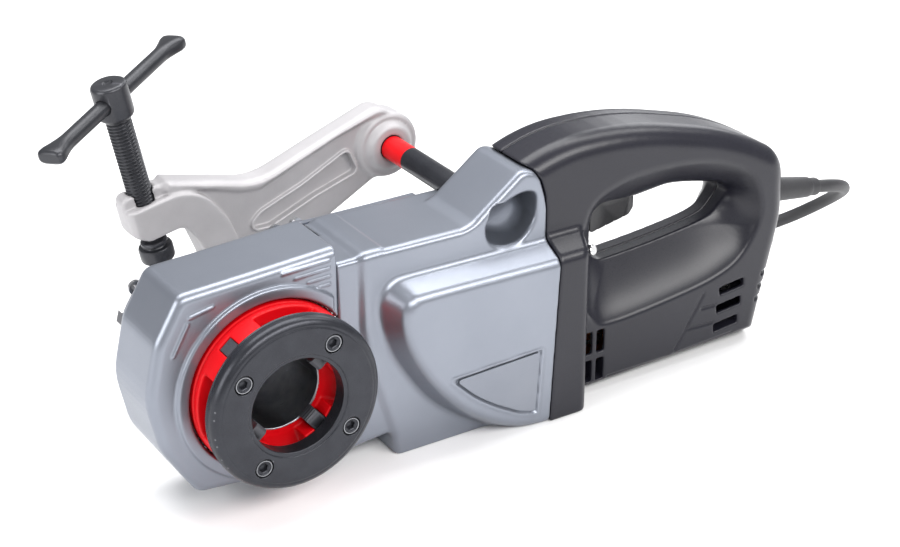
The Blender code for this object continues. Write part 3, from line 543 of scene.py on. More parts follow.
def skin(name, space, field, finish):
    """The mesh of the surface where the field is zero: a point in each cell that the surface
    passes through, at the middle of its crossings, and a face across each crossing."""
    field = np.ascontiguousarray(field, dtype=np.float32)
    inside = field < 0
    cells = tuple(n - 1 for n in field.shape)
    count = np.zeros(cells, dtype=np.uint8)
    for i, j, k in CORNERS:
        count += inside[i:i + cells[0], j:j + cells[1], k:k + cells[2]]
    crossed = (count > 0) & (count < 8)
    where = np.argwhere(crossed)
    number = np.full(cells, -1, dtype=np.int32)
    number[crossed] = np.arange(len(where), dtype=np.int32)
    total = np.zeros((len(where), 3))
    hits = np.zeros(len(where))
    for a, b in EDGES:
        va = field[tuple((where + a).T)].astype(np.float64)
        vb = field[tuple((where + b).T)].astype(np.float64)
        hit = (va < 0) != (vb < 0)
        t = va[hit] / (va[hit] - vb[hit])
        total[hit] += np.array(a) + t[:, None] * (np.array(b) - np.array(a))
        hits[hit] += 1
    points = space.low + space.step * (where + total / hits[:, None])
    faces = []
    for axis in range(3):
        ahead = [slice(None)] * 3
        behind = [slice(None)] * 3
        ahead[axis], behind[axis] = slice(1, None), slice(None, -1)
        change = inside[tuple(behind)] != inside[tuple(ahead)]
        edge = np.argwhere(change)
        others = [i for i in range(3) if i != axis]
        if (edge[:, others].min() < 1
                or (edge[:, others] >= np.array(cells)[others]).any()):
            raise ValueError(name + " reaches the side of its space")
        u, v = np.eye(3, dtype=int)[others[0]], np.eye(3, dtype=int)[others[1]]
        ring = [number[tuple((edge - u * p - v * q).T)]
                for p, q in ((1, 1), (0, 1), (0, 0), (1, 0))]
        quads = np.stack(ring, axis=1)
        outwards = inside[tuple(edge.T)] == (axis != 1)
        quads[~outwards] = quads[~outwards][:, ::-1]
        faces.append(quads)
    return from_lists(name, points, np.concatenate(faces), finish, sharp=None)


# ---------------- silver castings

HEAD_OUTLINE = rounded([
    (60, 67.2, 0), (-6, 63.5, 0), (-48, 61.5, 8), (-62, 38, 22), (-69, 8, 40),
    (-62.5, -22, 26), (-44, -52, 8), (60, -61, 0)])
HEAD_SCREWS = [(-50, 47), (-54.5, -20), (30, 58)]
BLOCK_SCREWS = [(48, 53), (157, -58), (86, -62.5)]
LABEL = [(101, -22.5), (155, -20.5), (152.5, -56.5), (142.3, -53.5), (125.7, -43.8),
         (113.5, -35)]
ROD_MOUTH = [(129.6, 52.5), (131.5, 58.4), (138.3, 63.9), (146.2, 67.4), (154.1, 68.8),
             (160, 66.8), (161.8, 61.7), (160.2, 51.2), (152.7, 42.8), (144.6, 41),
             (137.6, 42), (131.6, 45.6)]


def head_housing():
    space = Space((-71, 24, -63), (41, 74, 69.5), 0.6)
    body = both(space.outline(HEAD_OUTLINE), space.between(FRONT, HEAD_BACK), 5)
    body = both(body, space.x - HEAD_RIGHT, 1.5)
    rim = both(np.abs(space.radius() - BEARING_SEAT) - 3.4, np.abs(space.y - FRONT) - 1.7, 1.3)
    rim = both(rim, space.x - 36.0, 1.0)
    body = either(body, rim, 1.0)
    strokes = [((8, 59.6), (34.5, 60.4), 1.0), ((15, 55.4), (34.5, 56.0), 1.0),
               ((22, 51.2), (34.5, 51.6), 1.0), ((28, 47), (34.5, 47.2), 1.0),
               ((-43.5, 49.6), (-31, 52), 1.1), ((-53.5, 31), (-45, 46), 1.1)]
    for (ax, az), (bx, bz), width in strokes:
        rib = space.bar((ax, FRONT + 0.35, az), (bx, FRONT + 0.35, bz), width)
        body = either(body, rib, 0.4)
    body = without(body, np.maximum(space.radius() - 50, 32 - space.y))
    body = without(body, np.maximum(space.radius() - 46.8, space.y - 50), 1.2)
    for x, z in HEAD_SCREWS:
        body = without(body, np.maximum(space.along_y(x, z, SCREW_BORE), 58 - space.y))
    return stands_for(skin("head_casting", space, body, "silver"), "head_housing")


def screw_bores(cover, places, front, back):
    for number, (x, z) in enumerate(places):
        profile = solid_profile(SCREW_BORE, 0, back - front)
        trim(cover, lathe(f"bore_{number}", profile, (x, front, z), (0, 1, 0), "steel", 24))


def head_cover():
    outline = rounded([(HEAD_RIGHT, 61, 0), (-45, 57, 8), (-58.5, 36, 22), (-64, 8, 40),
                       (-58, -20, 24), (-42, -47, 8), (HEAD_RIGHT, -54.5, 0)])
    cover = slab("head_cover_plate", outline, HEAD_BACK + GAP, HEAD_BACK + HEAD_COVER,
                 "silver_cover")
    trim(cover, lathe("cover_bore", solid_profile(27, -20, 20), (0, HEAD_BACK, 0), (0, 1, 0),
                      "steel"))
    screw_bores(cover, HEAD_SCREWS, 60, 91)
    soften(cover, 0.8)
    stands_for(cover, "head_rear_cover")


def beside_joint(space):
    """Everything left of the joint between the gear block and the handle shells."""
    edge = [(0, -100), (162.4, -100), (162.4, BASE_Z), (167.8, 32), (167.8, 56), (167, 64),
            (164.2, 73), (160, 79.3), (155, 82.2), (150, 100), (0, 100)]
    return space.outline(edge)


def raised_pad(space):
    foot = [(260, 38), (200, 38.5), (125, 39.4), (80, 40), (72, 39.8), (66, 36.5), (62.3, 29),
            (63, 18), (67.4, 0.3), (75.8, -15.3), (89.3, -34.7), (103.1, -47.7),
            (117.3, -58.1), (131.8, -67), (155, -76), (200, -80), (260, -84)]
    face = [(260, 29), (200, 30), (125, 31.8), (84, 32.5), (77, 31), (73, 27.5), (71.3, 22),
            (71.5, 15), (76.4, 0.9), (85.9, -16.9), (97.6, -31.9), (109.6, -44.3),
            (125.8, -55.3), (142.4, -62.5), (163, -66.3), (200, -69), (260, -72)]
    foot, face = smooth_loop(foot, 4), smooth_loop(face, 4)
    rise = np.clip((FRONT + 1 - space.y) / (FRONT + 1 - BOSS_FRONT), 0, 1)
    flank = space.outline(foot) * (1 - rise) + space.outline(face) * rise
    return both(flank * 0.9, space.between(BOSS_FRONT, FRONT + 10), 3.6)


def gear_housing():
    space = Space((39, 11, -68.5), (170, 86, 84.5), 0.8)
    block = space.outline(rounded([
        (53.5, 57.5, 4), (53.5, 15, 30), (60, -16, 60), (71, -53, 0), (75, -90, 0),
        (180, -90, 0), (180, 56, 0)]))
    bracket = space.outline(rounded([(108, 48, 0), (152.5, 81.5, 7), (163.5, 79, 9),
                                     (172, 52, 0), (172, 20, 0), (120, 20, 0)]))
    body = either(both(block, space.between(FRONT, BLOCK_BACK), 4),
                  both(either(block, bracket, 3), space.between(FRONT, 73), 4))
    neck = space.outline([(36, 55.4), (52, 55.4), (60, 57), (66, 57), (66, 0), (76, -53),
                          (36, -57)])
    neck = both(neck, space.between(30.5, BLOCK_BACK), 3)
    body = either(body, neck, 3.0)
    body = either(body, raised_pad(space), 2.5)
    mouth_floor = np.minimum(31 + (161.8 - space.x + space.z - 41) * 0.8, 57)
    mouth = space.outline(smooth_loop(ROD_MOUTH)) + (space.y - FRONT) * 0.08
    body = without(body, both(mouth, space.y - mouth_floor, 3.0), 2.4)
    body = both(body, beside_joint(space), 0.9)
    body = both(body, BLOCK_LEFT - space.x, 1.2)
    body = both(body, BASE_Z - space.z, 1.5)
    recess = both(space.outline(label_outline(1.0)), np.abs(space.y - BOSS_FRONT) - 1.2)
    frame_line = both(np.abs(space.outline(label_outline(2.2))) - 0.9,
                      np.abs(space.y - BOSS_FRONT) - 0.45, 0.3)
    body = without(either(body, frame_line, 0.4), recess, 0.3)
    cavity = space.outline(rounded([(56, 46, 6), (56, -44, 6), (90, -56, 6), (149, -56, 6),
                                    (149, 37, 4), (116, 37, 4), (110, 46, 4)]))
    for hollow in (np.maximum(cavity, 33 - space.y),
                   np.maximum(space.along_y(0, 0, BEARING_SEAT), np.abs(space.y - 55) - 23),
                   np.maximum(space.along_y(73.6, 0, 26), 33 - space.y),
                   space.along_y(ROD_X, ROD_Z, ROD_RADIUS + GAP),
                   np.maximum(space.along_x(MID_Y, 0, 11), 140 - space.x)):
        body = without(body, hollow)
    for x, z in BLOCK_SCREWS:
        body = without(body, np.maximum(space.along_y(x, z, SCREW_BORE), 66 - space.y))
    return stands_for(skin("gear_block_casting", space, body, "silver"), "gear_housing")


def label_outline(grow):
    """The plate's outline with its curved lower edge, grown outwards."""
    corners = [Vector(corner) for corner in LABEL]
    grown = []
    for i, corner in enumerate(corners):
        before = (corner - corners[i - 1]).normalized()
        after = (corners[(i + 1) % len(corners)] - corner).normalized()
        outward = Vector((-before.y - after.y, before.x + after.x))
        grown.append(corner + outward * grow / (1 + before.dot(after)))
    radii = [1.5, 1.5, 1.5, 30, 60, 60]
    return rounded([(point.x, point.y, radius) for point, radius in zip(grown, radii)])


def gear_cover():
    outline = rounded([(BLOCK_LEFT, 55, 2), (BLOCK_LEFT, -51, 2), (66, -53, 3),
                       (78, BASE_Z + 1, 2), (161, BASE_Z + 1, 2), (165, 20, 0), (165, 48, 3),
                       (148, 48, 2), (126, 48, 3), (120, 55, 3)])
    cover = slab("block_cover_plate", outline, BLOCK_BACK + GAP,
                 BLOCK_BACK + BLOCK_COVER, "silver_cover")
    screw_bores(cover, BLOCK_SCREWS, 60, 121)
    soften(cover, 0.8)
    stands_for(cover, "gear_rear_cover")


def label_plate():
    plate = slab("blank_plate", label_outline(0), BOSS_FRONT + 0.1, BOSS_FRONT + 1.0, "plate")
    soften(plate, 0.25)
    stands_for(plate, "label_plate")


# ---------------- handle

HANDLE = rounded([
    (140, 74, 0), (172, 90.5, 100), (228, 90.5, 220), (300, 71, 200), (339.5, 48, 22),
    (341.5, 10, 60), (319, -90, 0), (140, -90, 0)], math.radians(3))
BARREL = rounded([(130, 34, 0), (300, 22, 30), (337.5, 6, 20), (316.5, -95, 0),
                  (130, -95, 0)])
OPENING_FACE = smooth_loop([
    (193, 29), (195, -5), (202, -22), (218, -26), (262, -22), (290, -17), (308, -8), (320, 11),
    (320, 28), (310, 45), (286, 57), (254, 62), (222, 61), (199, 51)])
OPENING_THROAT = smooth_loop([
    (212, 27), (212, 12), (217, 5.5), (228, 5), (262, 7.5), (294, 12), (304, 18.5), (309, 26),
    (306, 31.5), (294, 36), (267, 41.5), (250, 41), (216, 36)])
TRIGGER_WELL = [(204, 20), (199, 38), (201, 45), (208, 48), (237, 42), (246, 38), (242, 20)]
FAN_SLOTS = [(x, z) for x in (198.9, 207.3) for z in (-35.3, -53.1)]
BRUSH_SLOTS = [(302, -26.5), (300.5, -38), (299, -50)]
SHELL_SCREWS = [(181, 14, 96), (319, -57, 81), (330, 40, 71), (270, 66, 71)]   # x, z, seat
SCREW_TIP = 43.0
RELIEF_AXIS = Vector((math.cos(math.radians(10)), 0, -math.sin(math.radians(10))))
RELIEF_START = Vector((336.5, MID_Y, 16))
RELIEF_LENGTH = 52.0


def handle_form(space):
    """The closed handle and motor housing, the same on both sides of the joint."""
    away = np.abs(space.y - MID_Y)
    grip = both(space.outline(HANDLE), space.between(FRONT, 74), 12)
    barrel = both(space.outline(BARREL), space.between(48, BLOCK_BACK), 6)
    slope = np.clip((43 - away) / 18, 0, 1)
    collar = both(space.x - 187 - 7 * slope, space.z - 32 - 9.5 * slope, 5)
    collar = both(collar, away - 43, 4)
    collar = both(collar, 152 - space.x)
    body = either(either(grip, barrel, 5), collar, 3)
    reach = np.clip((away - 8) / 20, 0, 1.05)
    below = np.clip((space.z - 8) / 25, 0, 1)
    flare = ((reach + np.sin(np.pi / 2 * reach)) / 2 * (1 - below)
             + (1 - np.cos(np.pi / 2 * reach)) * below)
    opening = space.outline(OPENING_THROAT) * (1 - flare) + space.outline(OPENING_FACE) * flare
    body = without(body, opening * 0.85, 1.6)
    well = both(space.outline(TRIGGER_WELL), away - 26, 2)
    body = without(body, well, 0.8)
    edge = [(400, -100), (162.8, -100), (162.8, BASE_Z), (168.2, 32), (168.2, 56.2),
            (167.4, 64.2), (164.6, 73.3), (160.3, 79.7), (155.2, 82.6), (150, 84),
            (150, 110), (400, 110)]
    body = both(body, space.outline(edge), 0.8)
    edge_height = -61.0 + 0.03 * (space.x - 198)
    chamfer = ((away - 28) * 7 + (edge_height - space.z) * 9) / 11.4
    chamfer = np.where(space.x < 196, -9.0, chamfer)
    body = both(body, BASE_Z - space.z, 1.5)
    return both(body, chamfer, 0.8)


def shell_hollows(space):
    def cylinder(y, z, radius, left, right):
        return np.maximum(space.along_x(y, z, radius), np.maximum(left - space.x,
                                                                 space.x - right))
    hollows = [cylinder(MID_Y, 0, 31.5, 150, 177), cylinder(MID_Y, MOTOR_Z, 9, 150, 178),
               cylinder(MID_Y, MOTOR_Z, 11.3, 170, 190), cylinder(MID_Y, MOTOR_Z, 26, 187.5, 316),
               cylinder(MID_Y, MOTOR_Z, 9.3, 310, 326.5),
               space.box((205, 40, 50), (250, 68, 73)),
               space.box((211.4, 48.4, 20), (244, 63.6, 52)),
               space.box((248, 51, 53), (318, 61, 58)),
               space.box((312, 51.5, 12), (332, 60.5, 56)),
               space.bar(RELIEF_START - RELIEF_AXIS * 1, RELIEF_START + RELIEF_AXIS * 60, 8.6)]
    for x, z, seat in SHELL_SCREWS:
        hollows.append(np.maximum(space.along_y(x, z, 2.2), 38 - space.y))
        hollows.append(np.maximum(space.along_y(x, z, 4.2), seat - space.y))
    return hollows


def grooves(space, front):
    """The thin joint lines and the catches' notches in a side of the motor housing."""
    lines = [((213, -60), (255, -60)), ((261, -59.5), (304, -57.5)), ((281, -26), (262, -57)),
             ((271, -46), (289, -46.5)), ((280, -35), (290, -35.5))]
    depth = FRONT if front else BLOCK_BACK
    return [space.bar((ax, depth, az), (bx, depth, bz), 0.85) for (ax, az), (bx, bz) in lines]


def handle_shell(front):
    low, high = (11, 57.5) if front else (54.5, 101)
    space = Space((149, low, -68.5), (348, high, 92), 0.8)
    body = handle_form(space)
    for line in grooves(space, front):
        body = without(body, line, 0.4)
    for hollow in shell_hollows(space):
        body = without(body, hollow)
    face = FRONT + 3 if front else BLOCK_BACK - 3
    near, far = sorted((face - (12 if front else -12), face + (10 if front else -10)))
    for x, z in FAN_SLOTS:
        slot = space.box((x - 2.6, near, z - 6.9), (x + 2.6, far, z + 6.9), 0.8)
        body = without(body, slot, 0.6)
    for x, z in BRUSH_SLOTS:
        slot = space.box((x - 9, near, z - 2.6), (x + 9, far, z + 2.6), 0.8, math.radians(6))
        body = without(body, slot, 0.6)
    for z in (-24, -32, -40):
        notch = space.box((324 + z * 0.225 + 5.5, 20, z - 1.4), (350, 44, z + 1.4), 0.5)
        body = without(body, notch, 0.6)
    if front:
        body = both(body, space.y - MID_Y + 0.15, 0.5)
        return stands_for(skin("handle_front", space, body, "plastic"), "handle_shell_front")
    body = without(body, space.box((211, 66, 57.6), (239, 92, 66.4), 1.0), 0.8)
    body = both(body, MID_Y + 0.15 - space.y, 0.5)
    return stands_for(skin("handle_rear", space, body, "plastic"), "handle_shell_rear")


def controls():
    outline = rounded([(212.4, 46, 1), (212.4, 21.5, 2.5), (240, 27, 3), (243, 31, 2),
                       (243, 46, 1)])
    trigger = slab("trigger_lever_look", outline, 49, 63, "black_plastic")
    soften(trigger, 1.6, 3)
    for number in range(4):
        x = 218 + 6 * number
        groove = lathe(f"trigger_groove_{number}", solid_profile(0.7, -20, 20),
                       (x, MID_Y, 22.1 + (x - 212.4) * 0.2), (0, 1, 0), "steel", 12)
        trim(trigger, groove)
    stands_for(trigger, "trigger")
    switch = slab("switch_body", rounded([(208, 52, 1), (208, 71, 1), (242, 71, 1),
                                          (242, 52, 1)]), 43, 65, "black_plastic")
    soften(switch, 0.6)
    stands_for(switch, "switch_block")
    knob = slab("selector_knob_look", rounded([(217, 58.2, 1.5), (217, 65.8, 1.5),
                                               (229, 65.8, 1.5), (229, 58.2, 1.5)]),
                65.6, 77.5, "red")
    for number in range(3):
        groove = lathe(f"knob_groove_{number}", solid_profile(0.6, -8, 8),
                       (220 + 3 * number, 77.6, 62), (0, 0, 1), "steel", 12)
        trim(knob, groove)
    soften(knob, 0.6, 3)
    stands_for(knob, "direction_selector")


def joint_pin():
    """The bright pin in the collar's front, by the joint."""
    pin = lathe("joint_pin", [(0, 0), (2.6, 0), (3.0, 0.5), (3.0, 12), (0, 12)],
                (193.5, 19, 29), (-0.45, 1, -0.35), "chrome", 32)
    belongs_to(pin, "handle_shell_front")


# ---------------- die head

def die_body():
    space = Space((-47, 9, -47), (47, 69.5, 47), 0.5)
    radius = space.radius()
    flange = both(radius - DIE_RADIUS, space.between(PLATE_THICK + GAP, FLANGE_BACK), 0.8)
    body = either(flange, both(octagon(space, HUB_RADIUS), space.between(28, HUB_BACK), 1.2), 1.0)
    groove = np.sqrt((radius - DIE_RADIUS) ** 2 + (space.y - 25.5) ** 2) - 0.8
    body = without(body, groove, 0.3)
    body = without(body, radius - PIPE_BORE, 0.8)
    body = without(body, both(radius - 26, space.y - FLANGE_FRONT, 1.0), 0.6)
    across = np.arctan2(space.z, space.x)
    for number in range(4):
        middle = math.radians(FIRST_CHASER_ANGLE + 90 * number)
        along = space.x * math.cos(middle) + space.z * math.sin(middle)
        side = np.abs(space.z * math.cos(middle) - space.x * math.sin(middle))
        slot = both(side - 4.3, 15 - along)
        body = without(body, np.maximum(slot, space.y - FLANGE_FRONT), 0.3)
        turn = (across - middle - math.pi / 4 + math.pi) % math.tau - math.pi
        wedge = (np.abs(turn) - math.radians(22)) * radius
        pocket = both(both(wedge, 18 - radius, 1), space.y - FLANGE_FRONT, 1.5)
        body = without(body, pocket, 0.8)
        x, z = on_circle(SCREW_CIRCLE, FIRST_SCREW_ANGLE + 90 * number)
        body = without(body, np.maximum(space.along_y(x, z, 2.8), space.y - 24))
    casting = skin("die_body_casting", space, body, "red")
    casting.data.materials.append(FINISHES["bore"])
    for face in casting.data.polygons:
        across = (face.center - DIE_AXIS) / MM
        bored = math.hypot(across.x, across.z) < PIPE_BORE + 0.9 and across.y > FLANGE_FRONT
        face.material_index = 1 if bored else 0
    stands_for(casting, "die_head_body")


def octagon(space, corner_radius):
    flat = corner_radius * math.cos(math.pi / 8)
    found = None
    for k in range(8):
        turn = math.tau * (k + 0.5) / 8
        side = space.x * math.cos(turn) + space.z * math.sin(turn) - flat
        found = side if found is None else np.maximum(found, side)
    return found


def die_plate():
    space = Space((-48.5, -1, -48.5), (48.5, 11, 48.5), 0.42)
    radius = space.radius()
    plate = both(both(radius - PLATE_RADIUS, space.between(0, PLATE_THICK), 1.4),
                 (radius - 44.2) * 0.66 - space.y * 0.75, 1.5)
    groove = np.sqrt((radius - 43.2) ** 2 + (space.y + 0.1) ** 2) - 0.55
    plate = without(plate, groove, 0.3)
    side_groove = np.sqrt((radius - PLATE_RADIUS - 0.3) ** 2 + (space.y - 8.2) ** 2) - 0.8
    plate = without(plate, side_groove, 0.3)
    plate = without(plate, radius - PLATE_HOLE, 1.2)
    inner_step = np.maximum(radius - 28.2, space.y - 0.7)
    plate = without(plate, inner_step, 0.4)
    for number in range(4):
        x, z = on_circle(SCREW_CIRCLE, FIRST_SCREW_ANGLE + 90 * number)
        away = space.along_y(x, z, 0)
        plate = without(plate, away - 2.8)
        plate = without(plate, np.maximum(away - 5.2, space.y - 3.5), 0.4)
    stands_for(skin("die_cover_plate", space, plate, "oxide"), "die_plate")


def hexagon(x, z, radius, turn=0.0):
    return [(x + radius * math.cos(math.tau * k / 6 + turn),
             z + radius * math.sin(math.tau * k / 6 + turn)) for k in range(6)]


def plate_screws():
    """Socket screws with dished heads and dark sockets; a lighter steel ring in each dish is
    partly a polished edge and partly a painted ring highlight.
    """
    for number in range(4):
        x, z = on_circle(SCREW_CIRCLE, FIRST_SCREW_ANGLE + 90 * number)
        profile = [(0, 22), (2.2, 22), (2.5, 21.5), (2.5, 3.2), (4.6, 3.2), (4.9, 2.9),
                   (4.9, 1.1), (4.5, 0.6), (4.0, 0.5), (3.5, 1.0), (0, 1.3)]
        screw = lathe(f"plate_screw_look_{number + 1}", profile, (x, 0, z), (0, 1, 0), "oxide",
                      48)
        trim(screw, slab("socket", hexagon(x, z, 2.5, 0.3 + number), -2, 2.9, "oxide_dark"))
        # A lighter steel ring in the dish: partly a polished edge, partly a painted ring
        # highlight.
        shine = [(4.6, 0.8), (4.4, 0.38), (4.0, 0.38), (3.8, 0.8), (4.6, 0.8)]
        belongs_to(lathe(f"plate_screw_ring_{number + 1}", shine, (x, 0, z), (0, 1, 0),
                         "bore", 48), f"plate_screw_{number + 1}")
        stands_for(screw, f"plate_screw_{number + 1}")


def chaser(number):
    """A thread chaser: a hard steel block with a stepped and serrated cutting edge."""
    middle = math.radians(FIRST_CHASER_ANGLE + 90 * number)
    front, back = 11.0, FLANGE_FRONT - GAP
    teeth = 5
    outline = [(45, back), (45, front + 0.6), (44.4, front), (21.6, front)]
    pitch = (back - front - 0.8) / teeth
    for k in range(teeth):
        y = front + 0.4 + k * pitch
        outline += [(20.8 - 0.22 * k, y), (19.6, y + pitch / 2)]
    outline += [(20.6, back - 0.4), (21.4, back)]
    loops = []
    for side in (-4.0, 4.0):
        loop = []
        for r, y in outline:
            loop.append((r * math.cos(middle) - side * math.sin(middle), y,
                         r * math.sin(middle) + side * math.cos(middle)))
        loops.append(loop)
    block = skinned(f"chaser_look_{number + 1}", loops, "oxide_dark")
    soften(block, 0.25, 1, 50)
    for k, radial in enumerate((30, 36)):
        x, z = on_circle(radial, math.degrees(middle))
        trim(block, lathe("dimple", [(0, -1), (1.2, -1), (0, 0.8)], (x, front, z), (0, 1, 0),
                          "steel", 16))
    stands_for(block, f"chaser_{number + 1}")


# ---------------- support clamp

JAW_SEAT = -38.0
CAP_LOW, CAP_HIGH, CAP_RADIUS = 110.0, 130.5, 9.9
BAR_W, BAR_RADIUS = 120.5, 4.4
PAD_FACE, PAD_TOP = 21.5, 34.0
HOOK = rounded([
    (-13, 66, 4), (10, 66, 14), (28, 56, 14), (45, 38, 16), (50, 5, 30), (44, -36, 16),
    (28, -59, 12), (-16, -59, 7), (-22, -46, 4), (-19, JAW_SEAT, 2), (21.5, JAW_SEAT, 3),
    (28, -8, 10), (22, 26, 12), (16, 38.5, 7), (-5, 38.5, 6), (-13, 44, 3)])
MOUTH = rounded([(-90, 38.5, 0), (16, 38.5, 7), (22, 26, 12), (28, -8, 10), (21.5, -38, 3),
                 (-90, -38, 0)])
ARM = rounded([
    (2, 66, 0), (30, 60.5, 30), (55, 54, 40), (92, 68, 60), (133, 83, 10), (150, 70, 8),
    (148, 48, 8), (128, 38, 10), (84, 14, 30), (50, -2, 0), (30, 20, 0)])
ARM_FLANGE = rounded([
    (-30, 90, 0), (133, 110, 0), (152, 84, 0), (138, 79, 4), (124, 76.5, 10), (105.7, 71, 20),
    (81.5, 61.5, 20), (56, 51, 8), (44, 52, 8), (28, 57, 20), (10, 61, 20), (-12, 61, 0)])
PANEL = rounded([(47, 27, 3), (62, 27, 5), (90, 38.5, 20), (118, 47.5, 3), (112, 61, 3),
                 (83, 46.5, 20), (56, 36, 10)])


def leaning(u, y, w):
    """A point of the clamp: w runs up its spindle from the pipe's axis, u square to it."""
    return Vector((u * math.cos(CLAMP_TILT) - w * math.sin(CLAMP_TILT), y,
                   u * math.sin(CLAMP_TILT) + w * math.cos(CLAMP_TILT)))


SPINDLE_AXIS = leaning(0, 0, 1)


def clamp_casting():
    space = Space((-72, 137.5, -69), (162, 166.5, 90), 0.8)
    u = space.x * math.cos(CLAMP_TILT) + space.z * math.sin(CLAMP_TILT)
    w = space.z * math.cos(CLAMP_TILT) - space.x * math.sin(CLAMP_TILT)
    away = np.abs(space.y - CLAMP_Y)
    hook = space.outline(HOOK, CLAMP_TILT)
    arm = space.outline(ARM)
    hollow = space.outline(MOUTH, CLAMP_TILT)
    band = both(both(hollow - 20.5, hook, 1.5), away - 11, 1.8)
    band = both(band, both(-u - 13, away - 11, 5.0), 0.5)
    solid = either(hook, arm, 5)
    web = both(solid, away - 5.5, 2.0)
    flange = both(both(solid, space.outline(ARM_FLANGE), 1.2), away - 8.6, 2.5)
    flange = both(flange, 12 - u, 3)
    border = both(np.abs(space.outline(PANEL)) - 1.6, away - 7.6, 0.7)
    body = either(either(web, band, 1.0), flange, 3.0)
    body = either(body, both(border, arm, 1.0), 0.6)
    body = without(body, both(space.outline(PANEL), 3.2 - away, 0.5), 0.4)
    eye = either(both(space.along_y(ROD_X, ROD_Z, 19.5), away - 9, 3.0),
                 both(space.along_y(ROD_X, ROD_Z, 13.0), away - 12.8, 1.8), 4.0)
    ring = np.sqrt(space.along_y(ROD_X, ROD_Z, 15.5) ** 2 + (away - 9.6) ** 2) - 0.7
    body = without(either(body, eye, 2.5), ring, 0.4)
    body = without(body, np.maximum(space.along_y(ROD_X, ROD_Z, ROD_RADIUS + GAP),
                                    space.y - CLAMP_BACK + 2), 0.8)
    stem = np.sqrt(u ** 2 + (space.y - CLAMP_Y) ** 2)
    body = without(body, np.maximum(stem - ROD_RADIUS - GAP, 34 - w), 0.8)
    stands_for(skin("clamp_casting", space, body, "casting"), "clamp_frame")


def v_jaw():
    """The pipe's seat, with two rows of biting teeth on its slopes."""
    teeth = 7
    outline = [(-31, -9), (-28, -3)]
    for (au, aw), (bu, bw) in (((-28, -3), (0, -30)), ((0, -30), (15, -15))):
        count = teeth if au < 0 else 4
        for k in range(count):
            for t, depth in (((k + 0.5) / count, 1.2), ((k + 1) / count, 0.0)):
                length = math.hypot(bu - au, bw - aw)
                normal = (bw - aw) / length, -(bu - au) / length
                outline.append((au + (bu - au) * t + normal[0] * depth,
                                aw + (bw - aw) * t + normal[1] * depth))
    outline += [(19, -15), (18.5, JAW_SEAT + GAP), (-16, JAW_SEAT + GAP)]
    loops = [[tuple(leaning(u, y, w)) for u, w in outline]
             for y in (CLAMP_FRONT + 2, CLAMP_BACK - 2)]
    jaw = skinned("pipe_jaw", loops, "oxide_dark")
    soften(jaw, 0.5, 2, 60)
    stands_for(jaw, "v_jaw")


def guide_rod():
    profile = [(0, CLAMP_BACK - 3.5), (6.5, CLAMP_BACK - 3.5), (7, CLAMP_BACK - 4),
               (7, RED_BAND_BACK), (7, RED_BAND_FRONT), (7, 52), (5.5, 50), (0, 50)]
    rod = lathe("clamp_rod_look", profile, (ROD_X, 0, ROD_Z), (0, 1, 0), "oxide", 64)
    rod.data.materials.append(FINISHES["red"])
    for face in rod.data.polygons:
        depth = face.center.y / MM - DIE_AXIS.y / MM
        if RED_BAND_FRONT < depth < RED_BAND_BACK and abs(face.normal.y) < 0.5:
            face.material_index = 1
    stands_for(rod, "guide_rod")


def threaded_spindle():
    """The clamp's screw: a thread of 2 mm pitch under a cross-drilled cap."""
    pitch, crest, root, steps, rise = 2.0, 7.0, 6.1, 48, 0.2
    low, high = 36.5, CAP_LOW
    rows = round((high - low) / rise) + 1
    points = []
    side, up, along = frame_of(SPINDLE_AXIS)
    centre = leaning(0, CLAMP_Y, 0)
    for j in range(rows):
        w = low + (high - low) * j / (rows - 1)
        fade = min(1.0, (w - low) / 2.0, (high - w) / 1.0)
        for k in range(steps):
            turn = math.tau * k / steps
            phase = (w / pitch - k / steps) % 1.0
            wave = min(1.0, max(0.0, 1.3 - 2.6 * abs(phase - 0.5)))
            radius = root + (crest - root) * wave * max(fade, 0)
            points.append(centre + along * w + (side * math.cos(turn)
                                                + up * math.sin(turn)) * radius)
    faces = walls(rows, steps)
    faces.append(list(range(steps)))
    faces.append([(rows - 1) * steps + k for k in range(steps)])
    screw = from_lists("spindle_thread", points, faces, "oxide_dark", sharp=30)
    outward(screw)
    nose = lathe("spindle_nose", [(0, PAD_TOP + GAP), (4.6, PAD_TOP + GAP), (5, PAD_TOP + 0.7),
                                  (5, 36), (5.6, 37.5), (0, 38.5)],
                 centre, SPINDLE_AXIS, "oxide_dark", 48)
    cap = lathe("spindle_cap", [(0, CAP_LOW - 1), (7.2, CAP_LOW - 1), (7.6, CAP_LOW),
                                (9.3, CAP_LOW + 1.2), (CAP_RADIUS, CAP_LOW + 2.4),
                                (CAP_RADIUS, CAP_HIGH - 2.2), (9.3, CAP_HIGH - 0.8),
                                (8.0, CAP_HIGH), (3, CAP_HIGH), (2.2, CAP_HIGH - 1),
                                (0, CAP_HIGH - 1.2)],
                centre, SPINDLE_AXIS, "oxide_dark", 64)
    bore = lathe("bar_bore", solid_profile(BAR_RADIUS + GAP, -30, 30), bar_point(0),
                 bar_direction(), "steel", 40)
    trim(cap, bore)
    soften(cap, 0.4, 2, 50)
    for piece in (nose, cap):
        belongs_to(piece, "clamp_spindle")
    stands_for(screw, "clamp_spindle")


def bar_point(along, side=0.0, up=0.0):
    u = along * math.cos(BAR_TURN) - side * math.sin(BAR_TURN)
    y = along * math.sin(BAR_TURN) + side * math.cos(BAR_TURN)
    return leaning(u, CLAMP_Y + y, BAR_W + up)


def bar_direction():
    return (bar_point(1) - bar_point(0)).normalized()


